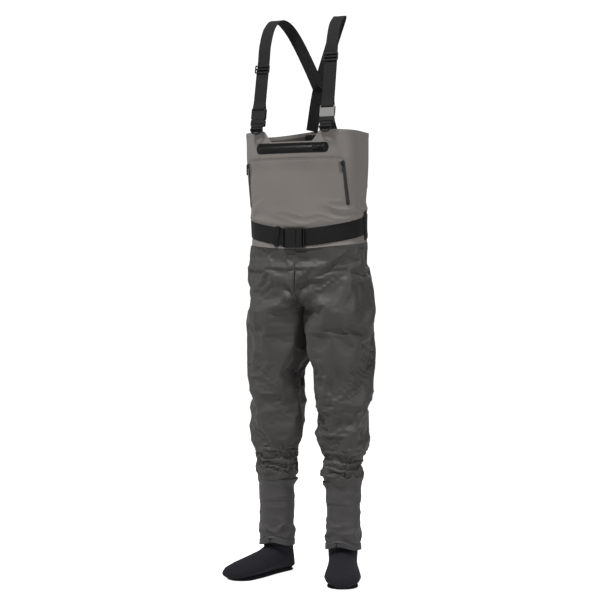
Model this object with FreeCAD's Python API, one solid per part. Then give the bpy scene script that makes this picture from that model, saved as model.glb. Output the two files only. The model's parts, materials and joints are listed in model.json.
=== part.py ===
import FreeCAD, Part
import math
import os

# Stocking-foot chest waders, standing empty as if worn, in millimetres.
# +Z is up, the front faces -Y and the wearer's left side is +X.
# While the parts are built, x = 0 is the mid-plane, z = 0 is the floor and
# y = 0 is the middle of the bib. At the end everything is moved along Y so
# that the origin is the middle of the footprint, on the floor.

Vector = FreeCAD.Vector

# ---- fabric and general clearances ----
FABRIC = 1.6                 # laminated shell fabric
SEAM_GAP = 0.4               # left open between neighbouring sewn panels
NEOPRENE = 4.0
WEB = 1.6                    # webbing thickness
CLEAR = 0.4                  # air between hard parts and cloth

# ---- heights ----
BIB_SIDE_TOP = 1300.0
BIB_FRONT_DIP = 33.0         # how far the front edge sags between the straps
DIP_EDGES = (60.0, 90.0)     # half width of the sag's flat part and of the whole sag
BIB_BACK_RISE = 22.0
YOKE_SEAM = 1221.0
WAIST_SEAM = 985.0
WAIST_TILT = 20.0            # the seam is lower at the front
HIP_LINE = 900.0             # the legs' panels start here
CROTCH = 780.0
THIGH_TOP = 720.0
KNEE_TOP = 600.0
KNEE_BOTTOM = 370.0
GUARD_TOP = 283.0
GUARD_BOTTOM = 92.0
LINER_BOTTOM = 150.0         # where the fabric leg meets the neoprene sock
SOCK_TOP = 90.0
SOLE_THICK = 4.0

# ---- joint heights ----
HIP_PIVOT = 870.0
KNEE_PIVOT = 480.0
ANKLE_PIVOT = 95.0

# ---- torso: height, half width, half depth, centre y, squareness ----
TORSO = [
    (830.0, 190.0, 122.0, 19.0, 2.2),
    (870.0, 189.0, 120.0, 18.0, 2.3),
    (940.0, 178.0, 113.0, 17.0, 2.5),
    (1015.0, 166.0, 108.0, 14.0, 2.6),
    (1077.0, 168.0, 112.0, 8.0, 2.8),
    (1225.0, 174.0, 118.5, 1.0, 3.2),
    (1330.0, 172.0, 120.0, 0.0, 3.5),
]

# ---- one leg: height, centre x, half width, half depth ----
LEG_Y = 20.0
LEG = [
    (150.0, 105.0, 43.0, 44.0),
    (268.0, 105.0, 45.0, 46.0),
    (285.0, 105.0, 49.0, 50.0),
    (302.0, 104.0, 58.0, 59.0),
    (330.0, 104.0, 65.0, 66.0),
    (370.0, 104.0, 68.0, 70.0),
    (430.0, 103.0, 78.0, 80.0),
    (515.0, 101.0, 84.0, 88.0),
    (600.0, 100.0, 87.0, 95.0),
    (700.0, 99.0, 92.0, 106.0),
    (780.0, 98.5, 96.0, 118.0),
]
GUARD = [
    (92.0, 105.0, 49.5, 51.0),
    (180.0, 105.0, 48.0, 49.0),
    (255.0, 105.0, 49.5, 50.5),
    (283.0, 105.0, 52.5, 53.5),
]

# ---- foot, in its own frame: y back of the ankle axis, height, lean of the
# ring, half width, half height ----
FOOT_TURN = 20.0
FOOT_RINGS = [
    (0.0, SOCK_TOP, 0.0, 39.0, 43.0),
    (4.0, 70.0, 20.0, 38.0, 48.0),
    (11.0, 46.0, 42.0, 36.5, 60.0),
    (-15.0, 41.5, 60.0, 37.0, 41.0),
    (-50.0, 36.0, 78.0, 39.0, 31.0),
    (-95.0, 30.0, 86.0, 44.0, 26.0),
    (-140.0, 25.0, 90.0, 48.0, 20.5),
    (-178.0, 20.5, 90.0, 42.0, 16.0),
    (-200.0, 17.0, 90.0, 27.0, 11.0),
    (-208.0, 15.0, 90.0, 13.0, 6.0),
]

# ---- shoulder straps ----
STRAP = 38.0
TAB_POINT = Vector(107.0, -122.0, 1300.0)
FRONT_POINT = Vector(105.0, -68.0, 1560.0)
SHOULDER_POINT = Vector(97.0, 16.0, 1642.0)
CROSS_POINT = Vector(0.0, 94.0, 1432.0)
ANCHOR_POINT = Vector(-32.0, 117.0, 1322.0)
CROSS_LIFT = 1.6             # half the step between the two crossing straps
STRAP_BUCKLE_MOUTH = 1335.0  # height of the mouth of the socket
ADJUSTER_HEIGHT = {"left": 1510.0, "right": 1484.0}

# ---- side-release buckles: width, socket length, plug base length, thickness ----
STRAP_BUCKLE = (44.0, 34.0, 20.0, 11.0)
BELT_BUCKLE = (55.0, 40.0, 27.0, 12.0)
BUCKLE_WALL = 1.8
TAB_BELOW = 5.0              # how far the front tab reaches below the bib's edge
D_RING_DROP = 29.0           # from the mouth of the socket to the ring's bar
WEB_SLOT = 4.5

# ---- belt ----
BELT = 50.0
BELT_THICK = 2.0
BELT_HEIGHT = 1031.0
BELT_TILT = 39.0
BELT_LEAN = -3.0
BELT_STANDOFF = 3.6          # from the fabric to the inside of the belt
BELT_GAP = 17.8              # half angle left open for the buckle at the front
LOOP_ANGLES = (4.0, 64.0, 116.0, 176.0)
LOOP_THICK = 1.2
KEEPER_ANGLE = -116.0
KEEPER = (12.0, 5.0, 57.0)   # along the belt, deep, tall
KEEPER_WALL = 0.7
KEEPER_LIFT = 0.5            # carried proud of the belt's middle, clear of the bib

# ---- zips ----
ZIP_RADIUS = 720.0           # the chest zip follows an upright cylinder
ZIP_HEIGHT = 1250.0
ZIP_FRONT = -125.0           # y of the bib front where the chest zip is welded
PATCH = (225.0, 31.0, 1.2)
CHEST_SLOT = (199.0, 9.0)
CHEST_PARK = 90.0            # x of the parked chest slider
SIDE_ZIP_TOP = Vector(138.0, 0.0, 1203.0)
SIDE_ZIP_BOTTOM = Vector(144.0, 0.0, 1087.0)
SIDE_ZIP_WIDTH = 8.0
POCKET_PANEL = 1.2           # thickness of the hand-warmer panel

# ---- zip sliders and pulls ----
SLIDER = (8.0, 3.0, 12.0)    # wide, deep, tall
SLIDER_LIFT = 1.7            # from the tape to the middle of the slider
LUG = (2.4, 2.4, 8.0)        # wide, deep, tall
LUG_HOLE = (1.4, 3.2)        # deep, tall
PULL_PIVOT = 4.1             # from the tape to the middle of the pull's pin
PULL_PIN = 0.6               # radius
PULL_EYE = 0.8               # radius, less than the pin's height over the slider
PULL_CHEEK = 1.4             # thickness of each eye
PULL_SPREAD = 2.6            # from the pull's middle to the middle of an eye
PULL_NECK = 8.0              # from the pin to the finger piece
PULL_TAG = (8.0, 1.8, 18.0)  # wide, deep, tall


def station_slope(rows, index, column):
    """Slope of one column at a station, flat at both ends of the table."""
    if index == 0 or index == len(rows) - 1:
        return 0.0
    before = rows[index - 1]
    after = rows[index + 1]
    return (after[column] - before[column]) / (after[0] - before[0])


def smooth_row(rows, height):
    """The values of a table of stations at a height, on smooth cubic curves."""
    if height <= rows[0][0]:
        return rows[0][1:]
    if height >= rows[-1][0]:
        return rows[-1][1:]
    index = max(i for i, row in enumerate(rows) if row[0] <= height)
    low = rows[index]
    high = rows[index + 1]
    span = high[0] - low[0]
    t = (height - low[0]) / span
    values = []
    for column in range(1, len(low)):
        leaving = station_slope(rows, index, column) * span
        arriving = station_slope(rows, index + 1, column) * span
        rise = high[column] - low[column]
        eased = rise * (3 * t ** 2 - 2 * t ** 3)
        turn = leaving * (t ** 3 - 2 * t ** 2 + t) + arriving * (t ** 3 - t ** 2)
        values.append(low[column] + eased + turn)
    return tuple(values)


def torso_point(angle, height, offset):
    """A point of the torso outline: 0 is the wearer's left, -90 the front."""
    half_width, half_depth, centre, power = smooth_row(TORSO, height)
    cosine = math.cos(math.radians(angle))
    sine = math.sin(math.radians(angle))
    wide = abs(cosine / (half_width + offset)) ** power
    deep = abs(sine / (half_depth + offset)) ** power
    reach = (wide + deep) ** (-1.0 / power)
    return Vector(reach * cosine, centre + reach * sine, height)


def oval_point(rows, turn, height, offset):
    """A point of a leg tube; turn 0 and 1 are the inner side of the leg."""
    centre, half_width, half_depth = smooth_row(rows, height)
    angle = math.radians(360.0 * turn - 180.0)
    x = centre + (half_width + offset) * math.cos(angle)
    return Vector(x, LEG_Y + (half_depth + offset) * math.sin(angle), height)


def leg_point(turn, height, offset):
    """The leg tube, opening above the crotch into one half of the hips."""
    tube = oval_point(LEG, turn, height, offset)
    if height <= CROTCH:
        return tube
    share = ((HIP_LINE - height) / (HIP_LINE - CROTCH)) ** 2.4
    hips = torso_point(180.0 * turn - 90.0, height, offset)
    return hips + (tube - hips) * share


def grid_face(point, across, along):
    """A smooth face through point(u, v), with u and v running from 0 to 1."""
    rows = []
    for i in range(across + 1):
        rows.append([point(i / across, j / along) for j in range(along + 1)])
    surface = Part.BSplineSurface()
    surface.interpolate(rows)
    return surface.toShape()


def skin(point, thickness, across=12, along=6):
    """A closed cloth solid between point(u, v, 0) and point(u, v, thickness)."""
    inner = grid_face(lambda u, v: point(u, v, 0.0), across, along)
    outer = grid_face(lambda u, v: point(u, v, thickness), across, along)
    faces = [inner, outer]
    for inner_edge, outer_edge in zip(inner.Edges, outer.Edges):
        faces.append(Part.makeRuledSurface(inner_edge, outer_edge))
    solid = Part.makeSolid(Part.makeShell(faces))
    if solid.Volume < 0:
        solid.reverse()
    return solid


def mirrored(shape):
    return shape.mirror(Vector(0, 0, 0), Vector(1, 0, 0))


def placed(shape, origin, across, along):
    """Moves a shape from its own frame: x across, y inward, z along."""
    z_axis = Vector(along).normalize()
    x_axis = Vector(across) - z_axis * Vector(across).dot(z_axis)
    x_axis.normalize()
    y_axis = z_axis.cross(x_axis)
    matrix = FreeCAD.Matrix(
        x_axis.x, y_axis.x, z_axis.x, origin.x,
        x_axis.y, y_axis.y, z_axis.y, origin.y,
        x_axis.z, y_axis.z, z_axis.z, origin.z,
        0, 0, 0, 1,
    )
    return shape.transformed(matrix, True)


def centred_box(x_size, y_size, z_low, z_high, round_by=0.0):
    """A box centred on x and y, with its edges along Y rounded."""
    box = Part.makeBox(x_size, y_size, z_high - z_low)
    box.translate(Vector(-x_size / 2.0, -y_size / 2.0, z_low))
    if round_by == 0.0:
        return box
    edges = [edge for edge in box.Edges if abs(edge.tangentAt(0).y) > 0.9]
    return box.makeFillet(round_by, edges)


def pipe(path, radius):
    """A round wire swept along a path of joined edges."""
    wire = Part.Wire(path)
    start = wire.OrderedEdges[0]
    circle = Part.makeCircle(radius, start.valueAt(start.FirstParameter),
                             start.tangentAt(start.FirstParameter))
    return wire.makePipeShell([Part.Wire(circle)], True, False)


def arc(first, through, last):
    return Part.Arc(Vector(*first), Vector(*through), Vector(*last)).toShape()


def line(first, last):
    return Part.makeLine(Vector(*first), Vector(*last))


# ---- bib, waist and legs ----

def waist_seam(angle):
    return WAIST_SEAM + WAIST_TILT * math.sin(math.radians(angle))


def bib_top(angle):
    """Height of the bib's top edge: sagging in front, raised at the back."""
    sine = math.sin(math.radians(angle))
    if sine > 0:
        return BIB_SIDE_TOP + BIB_BACK_RISE * sine ** 2
    x = torso_point(angle, BIB_SIDE_TOP, 0.0).x
    flat, end = DIP_EDGES
    share = min(max((end - abs(x)) / (end - flat), 0.0), 1.0)
    return BIB_SIDE_TOP - BIB_FRONT_DIP * share * share * (3.0 - 2.0 * share)


def bib_half(first_angle, last_angle):
    def point(u, v, offset):
        angle = first_angle + (last_angle - first_angle) * u
        low = waist_seam(angle) + SEAM_GAP
        height = low + (bib_top(angle) - low) * v
        return torso_point(angle, height, offset)
    return skin(point, FABRIC, 32, 10)


def waist_panel():
    """The dark ring below the waist seam, closed at the centre-back seam."""
    def point(u, v, offset):
        angle = 90.1 + 359.8 * u
        high = waist_seam(angle)
        height = HIP_LINE + (high - HIP_LINE) * v
        return torso_point(angle, height, offset)
    return skin(point, FABRIC, 32, 4)


def leg_panel(low, high, along):
    """A length of the left leg, sewn along the inner leg."""
    def point(u, v, offset):
        turn = 0.001 + 0.998 * u
        return leg_point(turn, low + (high - SEAM_GAP - low) * v, offset)
    return skin(point, FABRIC, 24, along)


def gravel_guard():
    """The loose cuff sewn round the lower leg, over the sock's ankle."""
    def point(u, v, offset):
        height = GUARD_BOTTOM + (GUARD_TOP - GUARD_BOTTOM) * v
        return oval_point(GUARD, 0.001 + 0.998 * u, height, offset)
    return skin(point, FABRIC, 20, 5)


def ankle_sleeve():
    """The neoprene ankle between the leg fabric and the foot."""
    def point(u, v, offset):
        height = SOCK_TOP + SEAM_GAP + (LINER_BOTTOM - SOCK_TOP - 2 * SEAM_GAP) * v
        angle = math.radians(360.0 * (0.001 + 0.998 * u) - 180.0)
        x = LEG[0][1] + (38.0 + offset) * math.cos(angle)
        return Vector(x, LEG_Y + (40.0 + offset) * math.sin(angle), height)
    return skin(point, NEOPRENE, 20, 3)


def foot_ring(row, inset):
    """One closed ring of the sock, pulled in by the inset."""
    back, height, lean, half_width, half_height = row
    centre = Vector(0, back, height)
    down = Vector(0, math.cos(math.radians(lean)), -math.sin(math.radians(lean)))
    points = []
    for step in range(24):
        angle = 2 * math.pi * step / 24
        side = Vector((half_width - inset) * math.cos(angle), 0, 0)
        points.append(centre + side + down * ((half_height - inset) * math.sin(angle)))
    return Part.makePolygon(points + points[:1])


def foot_tube(rows, inset):
    """A closed solid with straight walls from ring to ring."""
    return Part.makeLoft([foot_ring(row, inset) for row in rows], True, True)


def on_foot(shape):
    """Moves a shape from the foot's own frame to the left foot."""
    shape.rotate(Vector(0, 0, 0), Vector(0, 0, 1), FOOT_TURN)
    shape.translate(Vector(LEG[0][1], LEG_Y, 0))
    return shape


def sock_foot():
    """The hollow neoprene foot, open at the ankle."""
    outer = foot_tube(FOOT_RINGS, 0.0)
    back, height, lean, half_width, half_height = FOOT_RINGS[0]
    mouth = (back, height + 1.0, lean, half_width, half_height)
    inner = foot_tube([mouth] + FOOT_RINGS[1:-1], NEOPRENE)
    return on_foot(outer.cut(inner))


def sock_sole():
    """The flat bonded sole under the sock."""
    left_edge = []
    right_edge = []
    for share in [step / 10.0 for step in range(11)]:
        y = 58.0 - 252.0 * share
        half = 30.0 + 13.0 * share - 5.0 * math.sin(2 * math.pi * share)
        half *= (1.0 - (2.0 * share - 1.0) ** 8) ** 0.5
        left_edge.append(Vector(half, y, 0))
        right_edge.append(Vector(-half, y, 0))
    curve = Part.BSplineCurve()
    curve.interpolate(Points=left_edge + right_edge[-2:0:-1], PeriodicFlag=True)
    outline = Part.Face(Part.Wire(curve.toShape()))
    return on_foot(outline.extrude(Vector(0, 0, SOLE_THICK)))


def lace_hook():
    """The wire hook at the front hem of the guard, which clips on a boot lace."""
    y = LEG_Y - smooth_row(GUARD, GUARD_BOTTOM)[2] - FABRIC - 2.2
    path = [
        line((0, 0, 12), (0, 0, 0)),
        arc((0, 0, 0), (0, -4, -4), (0, -8, 0)),
        line((0, -8, 0), (0, -8, 4)),
    ]
    hook = pipe(path, 1.2)
    bar = Part.makeCylinder(1.2, 14.0, Vector(-7, 0, 12), Vector(1, 0, 0))
    hook = hook.fuse(bar)
    hook.translate(Vector(LEG[0][1], y, GUARD_BOTTOM + 2.0))
    return hook


# ---- shoulder straps ----

FRONT_RUN = (FRONT_POINT - TAB_POINT).normalize()


def front_run_point(height):
    """The point of the straight front run of the left strap at a height."""
    return TAB_POINT + FRONT_RUN * ((height - TAB_POINT.z) / FRONT_RUN.z)


def strap_arch(side):
    """The strap's centre line from the straight front run to its rear anchor."""
    lift = CROSS_LIFT if side == "left" else -CROSS_LIFT
    curve = Part.BSplineCurve()
    curve.interpolate(
        Points=[
            FRONT_POINT,
            Vector(103.0, -38.0, 1614.0),
            SHOULDER_POINT,
            Vector(64.0, 58.0, 1597.0),
            CROSS_POINT + Vector(0, lift, 0),
            ANCHOR_POINT,
        ],
        InitialTangent=FRONT_RUN,
        FinalTangent=(ANCHOR_POINT - CROSS_POINT).normalize(),
    )
    return curve


def strap_section(centre, run):
    """The cross-section of the webbing, its width kept level."""
    across = Vector(1, 0, 0) - run * run.x
    across.normalize()
    face = across.cross(run)
    corners = []
    for side_way, depth in ((-0.5, -0.5), (0.5, -0.5), (0.5, 0.5), (-0.5, 0.5)):
        corners.append(centre + across * (side_way * STRAP) + face * (depth * WEB))
    return Part.makePolygon(corners + corners[:1])


def strap_rear(side):
    """The strap from just above the socket, over the shoulder, to the back edge."""
    start = front_run_point(STRAP_BUCKLE_MOUTH) + FRONT_RUN * (STRAP_BUCKLE[1] + 0.8)
    curve = strap_arch(side)
    sections = [strap_section(start, FRONT_RUN)]
    steps = 40
    for step in range(steps + 1):
        where = curve.LastParameter * step / steps
        run = Vector(*curve.tangent(where)[0])
        sections.append(strap_section(curve.value(where), run))
    return Part.makeLoft(sections, True, True)


def on_front_run(shape, height):
    return placed(shape, front_run_point(height), Vector(1, 0, 0), FRONT_RUN)


def strap_front(side):
    """The returned layer of the strap from the socket's bar up to the adjuster."""
    reach = (ADJUSTER_HEIGHT[side] - STRAP_BUCKLE_MOUTH) / FRONT_RUN.z
    layer = centred_box(STRAP, WEB, STRAP_BUCKLE[1] + 0.8, reach - 2.0)
    layer.translate(Vector(0, -WEB - 0.6, 0))
    return on_front_run(layer, STRAP_BUCKLE_MOUTH)


def adjuster(side):
    """The three-bar slide that sets the strap's length."""
    frame = centred_box(46.0, 3.0, -12.0, 12.0, 3.0)
    for middle_height in (-5.2, 5.2):
        slot = centred_box(39.5, 10.0, middle_height - 3.0, middle_height + 3.0)
        frame = frame.cut(slot)
    frame.translate(Vector(0, -2 * WEB - 2.6, 0))
    return on_front_run(frame, ADJUSTER_HEIGHT[side])


def buckle_socket(size):
    """The female half: a flat sleeve with side windows and a webbing bar."""
    width, length, _, thick = size
    socket = centred_box(width, thick, 0.0, length, 4.0)
    hollow = centred_box(width - 5.0, thick - 2 * BUCKLE_WALL, -1.0, length - 10.0)
    windows = centred_box(width + 2.0, thick - 2 * BUCKLE_WALL, 10.0, length - 10.0)
    slot = centred_box(width - 5.0, thick + 2.0, length - 7.5, length - 7.5 + WEB_SLOT)
    return socket.cut(hollow).cut(windows).cut(slot)


def buckle_plug(size):
    """The male half without its arms: a slotted base and the guide prong."""
    width, length, base, thick = size
    body = centred_box(width, thick - 1.0, -base, -0.4, 4.0)
    slot = centred_box(width - 5.0, thick + 2.0, 3.0 - base, 3.0 - base + WEB_SLOT)
    prong = centred_box(8.0, thick - 2 * BUCKLE_WALL - 1.0, -1.0, length - 12.0)
    return body.cut(slot).fuse(prong)


def buckle_arm(size):
    """One sprung arm with its catch, on the +x side."""
    width, length, _, thick = size
    deep = thick - 2 * BUCKLE_WALL - 1.2
    stem = centred_box(4.5, deep, 0.0, length - 13.0)
    stem.translate(Vector(width / 2.0 - 6.0, 0, 0))
    catch = centred_box(5.0, deep, 11.0, length - 11.5, 1.2)
    catch.translate(Vector(width / 2.0 - 2.7, 0, 0))
    return stem.fuse(catch)


def front_tab():
    """The webbing tab sewn on the bib that carries the plug and the D-ring."""
    length = (STRAP_BUCKLE_MOUTH - TAB_POINT.z) / FRONT_RUN.z
    tab = centred_box(STRAP, 2 * WEB, -length - TAB_BELOW, -STRAP_BUCKLE[2] - CLEAR)
    tab.translate(Vector(0, -4.2, 0))
    return on_front_run(tab, STRAP_BUCKLE_MOUTH)


def d_outline(half_wide, top, corner, drop):
    """A flat-topped D in the XZ plane, from its top bar down to its round end."""
    bend = corner * (1.0 - math.sqrt(0.5))
    side = top - corner
    return Part.Wire([
        line((corner - half_wide, 0, top), (half_wide - corner, 0, top)),
        arc((half_wide - corner, 0, top), (half_wide - bend, 0, top - bend), (half_wide, 0, side)),
        arc((half_wide, 0, side), (0, 0, -drop), (-half_wide, 0, side)),
        arc((-half_wide, 0, side), (bend - half_wide, 0, top - bend), (corner - half_wide, 0, top)),
    ])


def d_ring():
    """The D-ring that hangs in front of the tab."""
    wide, thick = 3.8, 3.4
    outer = Part.Face(d_outline(20.0, 1.9, 4.0, 18.5)).extrude(Vector(0, thick, 0))
    rims = [edge for edge in outer.Edges if abs(edge.tangentAt(edge.FirstParameter).y) < 0.5]
    inner = Part.Face(d_outline(20.0 - wide, 1.9 - wide, 2.0, 18.5 - wide))
    ring = outer.makeFillet(1.2, rims).cut(inner.extrude(Vector(0, thick, 0)))
    ring.translate(Vector(0, -4.2 - WEB - 1.0 - thick, -D_RING_DROP))
    return on_front_run(ring, STRAP_BUCKLE_MOUTH)


def strap_cross_patch():
    """The diamond plate that holds the two straps where they cross."""
    curve = strap_arch("left")
    where = curve.parameter(CROSS_POINT + Vector(0, CROSS_LIFT, 0))
    run = Vector(*curve.tangent(where)[0])
    upright = Vector(0, run.y, run.z)
    half_wide = 27.0
    half_tall = 36.0
    corners = [(0, half_tall), (half_wide, 0), (0, -half_tall), (-half_wide, 0)]
    points = [Vector(x, 0, z) for x, z in corners]
    face = Part.Face(Part.makePolygon(points + points[:1]))
    plate = face.extrude(Vector(0, 1.6, 0))
    edges = [edge for edge in plate.Edges if abs(edge.tangentAt(0).y) > 0.9]
    plate = plate.makeFillet(6.0, edges)
    plate.translate(Vector(0, 3.2, 0))
    return placed(plate, CROSS_POINT, Vector(1, 0, 0), upright)


def rear_strap_anchors():
    """Two sewn webbing patches inside the back edge of the bib."""
    patches = []
    for side in (-1.0, 1.0):
        patch = centred_box(STRAP + 4.0, 2.0, 1262.0, BIB_SIDE_TOP + 12.0)
        inside = TORSO[-1][2] - CLEAR - 2.8
        patch.translate(Vector(side * -ANCHOR_POINT.x, inside, 0))
        patches.append(patch)
    return Part.makeCompound(patches)


# ---- belt ----

def belt_centre(angle):
    swing = math.radians(angle)
    return BELT_HEIGHT + BELT_TILT * math.sin(swing) + BELT_LEAN * math.cos(swing)


def belt_webbing():
    def point(u, v, offset):
        angle = -90.0 + BELT_GAP + (360.0 - 2 * BELT_GAP) * u
        height = belt_centre(angle) + BELT * (v - 0.5)
        return torso_point(angle, height, FABRIC + BELT_STANDOFF + offset)
    return skin(point, BELT_THICK, 36, 3)


def belt_loops():
    """Fabric loops on the waist that the belt runs through."""
    loops = []
    for middle_angle in LOOP_ANGLES:
        def point(u, v, offset, middle_angle=middle_angle):
            angle = middle_angle + 7.0 * (u - 0.5)
            height = belt_centre(angle) + (BELT + 36.0) * (v - 0.5)
            swell = math.sin(math.pi * v) ** 0.35
            bow = CLEAR + (BELT_STANDOFF + BELT_THICK + 1.8) * swell
            return torso_point(angle, height, FABRIC + bow + offset)
        loops.append(skin(point, LOOP_THICK, 3, 12))
    return Part.makeCompound(loops)


def belt_lean(angle):
    """Direction up the cloth at the belt's level."""
    height = belt_centre(angle)
    up = torso_point(angle, height + BELT / 2, 0.0) - torso_point(angle, height - BELT / 2, 0.0)
    return up.normalize()


def belt_frame():
    """Middle point of the belt buckle."""
    height = belt_centre(-90.0)
    front = torso_point(-90.0, height, FABRIC).y
    return Vector(0, front - 3.0 - BELT_BUCKLE[3] / 2.0, height)


def on_belt(shape):
    """Puts a buckle part across the front: its length runs along -X."""
    shift = (BELT_BUCKLE[1] - BELT_BUCKLE[2]) / 2.0
    origin = belt_frame() + Vector(shift, 0, 0)
    return placed(shape, origin, belt_lean(-90.0), Vector(-1, 0, 0))


def keeper_axes():
    """Centre of the belt keeper, the direction along the belt and its upright."""
    offset = FABRIC + BELT_STANDOFF + BELT_THICK / 2.0 + KEEPER_LIFT
    ends = []
    for angle in (KEEPER_ANGLE - 2.0, KEEPER_ANGLE + 2.0):
        ends.append(torso_point(angle, belt_centre(angle), offset))
    centre = torso_point(KEEPER_ANGLE, belt_centre(KEEPER_ANGLE), offset)
    along = (ends[1] - ends[0]).normalize()
    upright = belt_lean(KEEPER_ANGLE)
    upright = (upright - along * upright.dot(along)).normalize()
    return centre, along, upright


def belt_keeper():
    """The sliding loop that holds the belt's free end down."""
    centre, along, upright = keeper_axes()
    wide, deep, tall = KEEPER
    half = tall / 2.0
    inside = half - 1.5
    loop = centred_box(wide, deep, -half, half)
    loop = loop.cut(centred_box(wide + 2.0, deep - 2 * KEEPER_WALL, -inside, inside))
    return placed(loop, centre, along, upright)


# ---- zips and pockets ----

def zip_arc(shape, depth, thick):
    """The part of an upright-through shape within a curved sheet of the bib."""
    centre = Vector(0, ZIP_FRONT + ZIP_RADIUS, ZIP_HEIGHT - 40.0)
    outer = Part.makeCylinder(ZIP_RADIUS + depth + thick, 80.0, centre)
    inner = Part.makeCylinder(ZIP_RADIUS + depth, 80.0, centre)
    return shape.common(outer.cut(inner))


def oblong(length, height):
    """A round-ended bar standing through the bib's front."""
    block = Part.makeBox(length - height, 60.0, height)
    block.translate(Vector(-(length - height) / 2.0, ZIP_FRONT - 20.0, ZIP_HEIGHT - height / 2.0))
    for side in (-1.0, 1.0):
        middle_point = Vector(side * (length - height) / 2.0, ZIP_FRONT - 20.0, ZIP_HEIGHT)
        block = block.fuse(Part.makeCylinder(height / 2.0, 60.0, middle_point, Vector(0, 1, 0)))
    return block.removeSplitter()


def chest_zip_garage():
    """The welded oblong around the chest zip, with a slot for the teeth."""
    ring = oblong(PATCH[0], PATCH[1]).cut(oblong(*CHEST_SLOT))
    return zip_arc(ring, 0.0, PATCH[2])


def chest_zip_tape():
    bar = oblong(CHEST_SLOT[0] - 1.0, CHEST_SLOT[1] - 1.0)
    return zip_arc(bar, -1.0, 1.6)


def zip_slider():
    """A zip slider lying on its tape: z is the way it closes, -y is outward."""
    wide, deep, tall = SLIDER
    body = centred_box(wide, deep, -tall / 2.0, tall / 2.0, 2.0)
    body.translate(Vector(0, -SLIDER_LIFT, 0))
    lug = centred_box(LUG[0], LUG[1], -LUG[2] / 2.0, LUG[2] / 2.0)
    hole = centred_box(2.0 * LUG[0], LUG_HOLE[0], -LUG_HOLE[1] / 2.0, LUG_HOLE[1] / 2.0)
    for shape in (lug, hole):
        shape.translate(Vector(0, -PULL_PIVOT, 0))
    return body.fuse(lug).cut(hole)


def zip_pull():
    """The pull: a pin through the slider's lug, two eyes and a finger piece."""
    across = Vector(1, 0, 0)
    pull = Part.makeCylinder(PULL_PIN, 2.0 * PULL_SPREAD, Vector(-PULL_SPREAD, -PULL_PIVOT, 0), across)
    for side in (-1.0, 1.0):
        start = side * PULL_SPREAD - PULL_CHEEK / 2.0
        pull = pull.fuse(Part.makeCylinder(PULL_EYE, PULL_CHEEK, Vector(start, -PULL_PIVOT, 0), across))
        cheek = centred_box(PULL_CHEEK, 2.0 * PULL_EYE, -PULL_NECK - 1.0, 0.0)
        cheek.translate(Vector(side * PULL_SPREAD, -PULL_PIVOT, 0))
        pull = pull.fuse(cheek)
    tag = centred_box(PULL_TAG[0], PULL_TAG[1], -PULL_NECK - PULL_TAG[2], -PULL_NECK, 2.5)
    tag.translate(Vector(0, -PULL_PIVOT, 0))
    return pull.fuse(tag)


def chest_slider_place():
    """Where the chest slider is parked: its point on the arc and its way."""
    swing = math.asin(CHEST_PARK / ZIP_RADIUS)
    reach = ZIP_RADIUS + 0.6
    centre = Vector(0, ZIP_FRONT + ZIP_RADIUS, ZIP_HEIGHT)
    point = centre + Vector(reach * math.sin(swing), -reach * math.cos(swing), 0)
    way = Vector(math.cos(swing), math.sin(swing), 0)
    return point, way


def on_chest(shape):
    point, way = chest_slider_place()
    return placed(shape, point, Vector(0, 0, -1), way)


def side_zip_ends():
    """Top and bottom of the left hand-warmer zip, just off the bib's face."""
    ends = []
    for mark in (SIDE_ZIP_TOP, SIDE_ZIP_BOTTOM):
        angle = -90.0
        while torso_point(angle, mark.z, 0.0).x < mark.x:
            angle += 0.05
        ends.append(torso_point(angle, mark.z, FABRIC + POCKET_PANEL + 5.4))
    return ends


def side_zip_axes():
    """Top point, across and along directions of the left hand-warmer zip."""
    top, bottom = side_zip_ends()
    along = (top - bottom).normalize()
    height = (SIDE_ZIP_TOP.z + SIDE_ZIP_BOTTOM.z) / 2.0
    angle = -90.0
    while torso_point(angle, height, 0.0).x < (top.x + bottom.x) / 2.0:
        angle += 0.05
    across = torso_point(angle + 1.0, height, 0.0) - torso_point(angle - 1.0, height, 0.0)
    return top, across, along


def on_side_zip(shape):
    top, across, along = side_zip_axes()
    return placed(shape, top, across, along)


def side_zip_tape():
    top, bottom = side_zip_ends()
    tape = centred_box(SIDE_ZIP_WIDTH, 1.2, -(top - bottom).Length, 8.0, 0.0)
    tape.translate(Vector(0, 0.8, 0))
    return on_side_zip(tape)


def handwarmer_panel():
    """The pocket panel laid over the front of the bib, below the yoke seam."""
    first, last = -157.0, -23.0

    def point(u, v, offset):
        angle = first + (last - first) * u
        height = 1062.0 + (YOKE_SEAM - 1062.0) * v
        return torso_point(angle, height, FABRIC + CLEAR + offset)
    return skin(point, POCKET_PANEL, 24, 5)


def chest_pocket_bag():
    """The flat inner bag behind the chest zip."""
    def point(u, v, offset):
        angle = -90.0 + 68.0 * (u - 0.5) * 1.4
        height = 1105.0 + 125.0 * v
        return torso_point(angle, height, offset - 5.0)
    return skin(point, 2.4, 12, 4)


def both_sides(parts, name, left_shape):
    parts["left_" + name] = left_shape
    parts["right_" + name] = mirrored(left_shape)


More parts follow.
